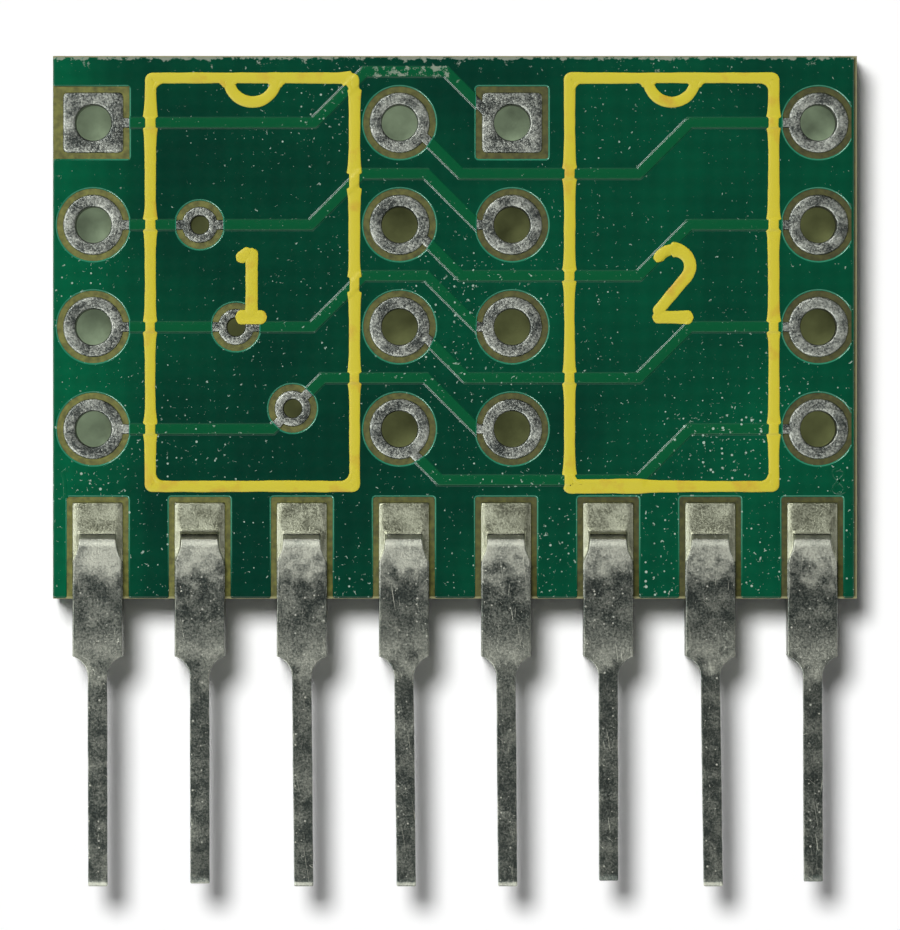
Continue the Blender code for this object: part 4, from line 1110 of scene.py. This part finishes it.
def add_lamp(name, kind, direction, distance, **settings):
    """A lamp that shines at the object from a direction."""
    lamp = bpy.data.lights.new(name, kind)
    for key, value in settings.items():
        setattr(lamp, key, value)
    obj = add_object(name, lamp)
    direction = Vector(direction).normalized()
    obj.location = direction * distance
    obj.rotation_mode = "QUATERNION"
    obj.rotation_quaternion = direction.to_track_quat("Z", "Y")
    obj.visible_camera = False
    return obj


def add_sheet(name, corners, maker):
    """A flat sheet of the stage."""
    mesh = bpy.data.meshes.new(name)
    mesh.from_pydata(corners, [], [(0, 1, 2, 3)])
    mesh.materials.append(finish(maker))
    add_object(name, mesh)


# Name, direction, width, height and radiance of the softboxes, which only metal and gloss show
SOFTBOXES = (
    ("left", (-1.0, 0.12, 0.85), 0.60, 0.16, 2.0),
    ("upper_left", (-0.70, 0.70, 1.15), 0.12, 0.06, 20.0),
    ("lower_left", (-0.70, -0.70, 1.15), 0.12, 0.06, 20.0),
    ("lower", (0.0, -0.72, 1.0), 0.30, 0.14, 1.4),
    ("right", (1.0, 0.05, 0.80), 0.30, 0.08, 2.6),
    ("upper", (-0.05, 1.0, 0.60), 0.30, 0.08, 0.6),
)


def make_stage():
    """White paper, a card of painted shade and glow under the board, two broad soft overhead lamps, softboxes for
    the gloss, a dim surround and the camera.
    """
    scene = bpy.context.scene
    add_sheet("paper", np.column_stack([box(-1.5, -1.5, 1.5, 1.5), np.zeros(4)]), matt_white_paper)
    # Painted shade and glow: a dark grey-green glowing card stands in for the shade under the board seen through
    # the drilled holes; the board hides it from everywhere else
    corners = np.column_stack([box(-9.6, 3.4, 9.6, 12.6), np.full(4, 0.01)])
    add_sheet("painted_shade_card", in_world(corners), grey_green_card)
    for name, direction, energy, angle in (("overhead", (-0.20, 0.30, 1.0), 3.08, 18),
                                           ("overhead_fill", (0.0, 0.05, 1.0), 0.14, 60)):
        lamp = add_lamp(name, "SUN", direction, 0.4, energy=energy, angle=math.radians(angle))
        lamp.visible_glossy = False
    for name, direction, width, height, radiance in SOFTBOXES:
        lamp = add_lamp(f"{name}_softbox", "AREA", direction, 0.3, shape="RECTANGLE", size=width, size_y=height,
                        energy=radiance * math.pi * width * height)
        lamp.visible_diffuse = False
    scene.world = bpy.data.worlds.new("surround")
    scene.world.use_nodes = True
    surround = scene.world.node_tree
    feed(surround, surround.nodes["Background"], {"Color": (1.0, 1.0, 1.0, 1.0), "Strength": 0.05})
    lens = bpy.data.cameras.new("straight_down")
    lens.lens, lens.sensor_width = 600.0, 36.0
    lens.clip_start, lens.clip_end = 0.01, 10.0
    camera = add_object("straight_down", lens)
    # The frame is 23.13 mm high at the level of the board's front, 40.2 px to a millimetre
    away = 23.13 * lens.lens / lens.sensor_width
    camera.location = (-0.124 * MM, 0.149 * MM, (2.0 + away) * MM)
    scene.camera = camera
    scene.view_settings.view_transform = "Standard"


# Operators


class ADAPTER_OT_laminate(bpy.types.Operator):
    """Give the drilled laminate its glass-epoxy finish"""

    bl_idname = "adapter_board.laminate"
    bl_label = "Laminate"

    def execute(self, context):
        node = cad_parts["laminate"]
        node.data.materials.clear()
        node.data.materials.append(finish(routed_glass_epoxy))
        return {"FINISHED"}


class ADAPTER_OT_lacquer(bpy.types.Operator):
    """Build the solder lacquer of both faces"""

    bl_idname = "adapter_board.lacquer"
    bl_label = "Lacquer"

    def execute(self, context):
        make_lacquer(FRONT, "solder_mask_front")
        make_lacquer(BACK, "solder_mask_back")
        return {"FINISHED"}


class ADAPTER_OT_copper(bpy.types.Operator):
    """Build the eight nets and the seen side's edge pads"""

    bl_idname = "adapter_board.copper"
    bl_label = "Copper"

    def execute(self, context):
        for net in range(LEADS):
            make_net(net)
            make_edge_pad(net)
        return {"FINISHED"}


class ADAPTER_OT_legend(bpy.types.Operator):
    """Print the two chip outlines and their numbers"""

    bl_idname = "adapter_board.legend"
    bl_label = "Legend"

    def execute(self, context):
        for chip in range(2):
            make_legend(chip)
        return {"FINISHED"}


class ADAPTER_OT_leads(bpy.types.Operator):
    """Fold the eight leads"""

    bl_idname = "adapter_board.leads"
    bl_label = "Leads"

    def execute(self, context):
        for lead in range(LEADS):
            make_lead(lead)
        return {"FINISHED"}


class ADAPTER_OT_solder(bpy.types.Operator):
    """Flow the solder of both faces"""

    bl_idname = "adapter_board.solder"
    bl_label = "Solder"

    def execute(self, context):
        for lead in range(LEADS):
            make_front_solder(lead)
            make_rear_solder(lead)
        return {"FINISHED"}


class ADAPTER_OT_stage(bpy.types.Operator):
    """Set the paper, the lamps and the camera"""

    bl_idname = "adapter_board.stage"
    bl_label = "Stage"

    def execute(self, context):
        make_stage()
        return {"FINISHED"}


STEPS = ("laminate", "lacquer", "copper", "legend", "leads", "solder", "stage")


class ADAPTER_PT_panel(bpy.types.Panel):
    """Lists the steps with their sizes and colours"""

    bl_idname = "ADAPTER_PT_panel"
    bl_label = "Adapter board"
    bl_space_type = "VIEW_3D"
    bl_region_type = "UI"
    bl_category = "Adapter"

    def draw(self, context):
        for step in STEPS:
            self.layout.operator(f"adapter_board.{step}")
        for group in (context.scene.adapter_sizes, context.scene.adapter_finishes):
            column = self.layout.column()
            for key in type(group).__annotations__:
                column.prop(group, key)


CLASSES = (
    AdapterSizes, AdapterFinishes, ADAPTER_OT_laminate, ADAPTER_OT_lacquer, ADAPTER_OT_copper, ADAPTER_OT_legend,
    ADAPTER_OT_leads, ADAPTER_OT_solder, ADAPTER_OT_stage, ADAPTER_PT_panel,
)


def register():
    for item in CLASSES:
        bpy.utils.register_class(item)
    bpy.types.Scene.adapter_sizes = bpy.props.PointerProperty(type=AdapterSizes)
    bpy.types.Scene.adapter_finishes = bpy.props.PointerProperty(type=AdapterFinishes)


def unregister():
    del bpy.types.Scene.adapter_finishes
    del bpy.types.Scene.adapter_sizes
    for item in reversed(CLASSES):
        bpy.utils.unregister_class(item)


def main():
    register()
    for step in STEPS:
        getattr(bpy.ops.adapter_board, step)()


if __name__ == "__main__":
    main()
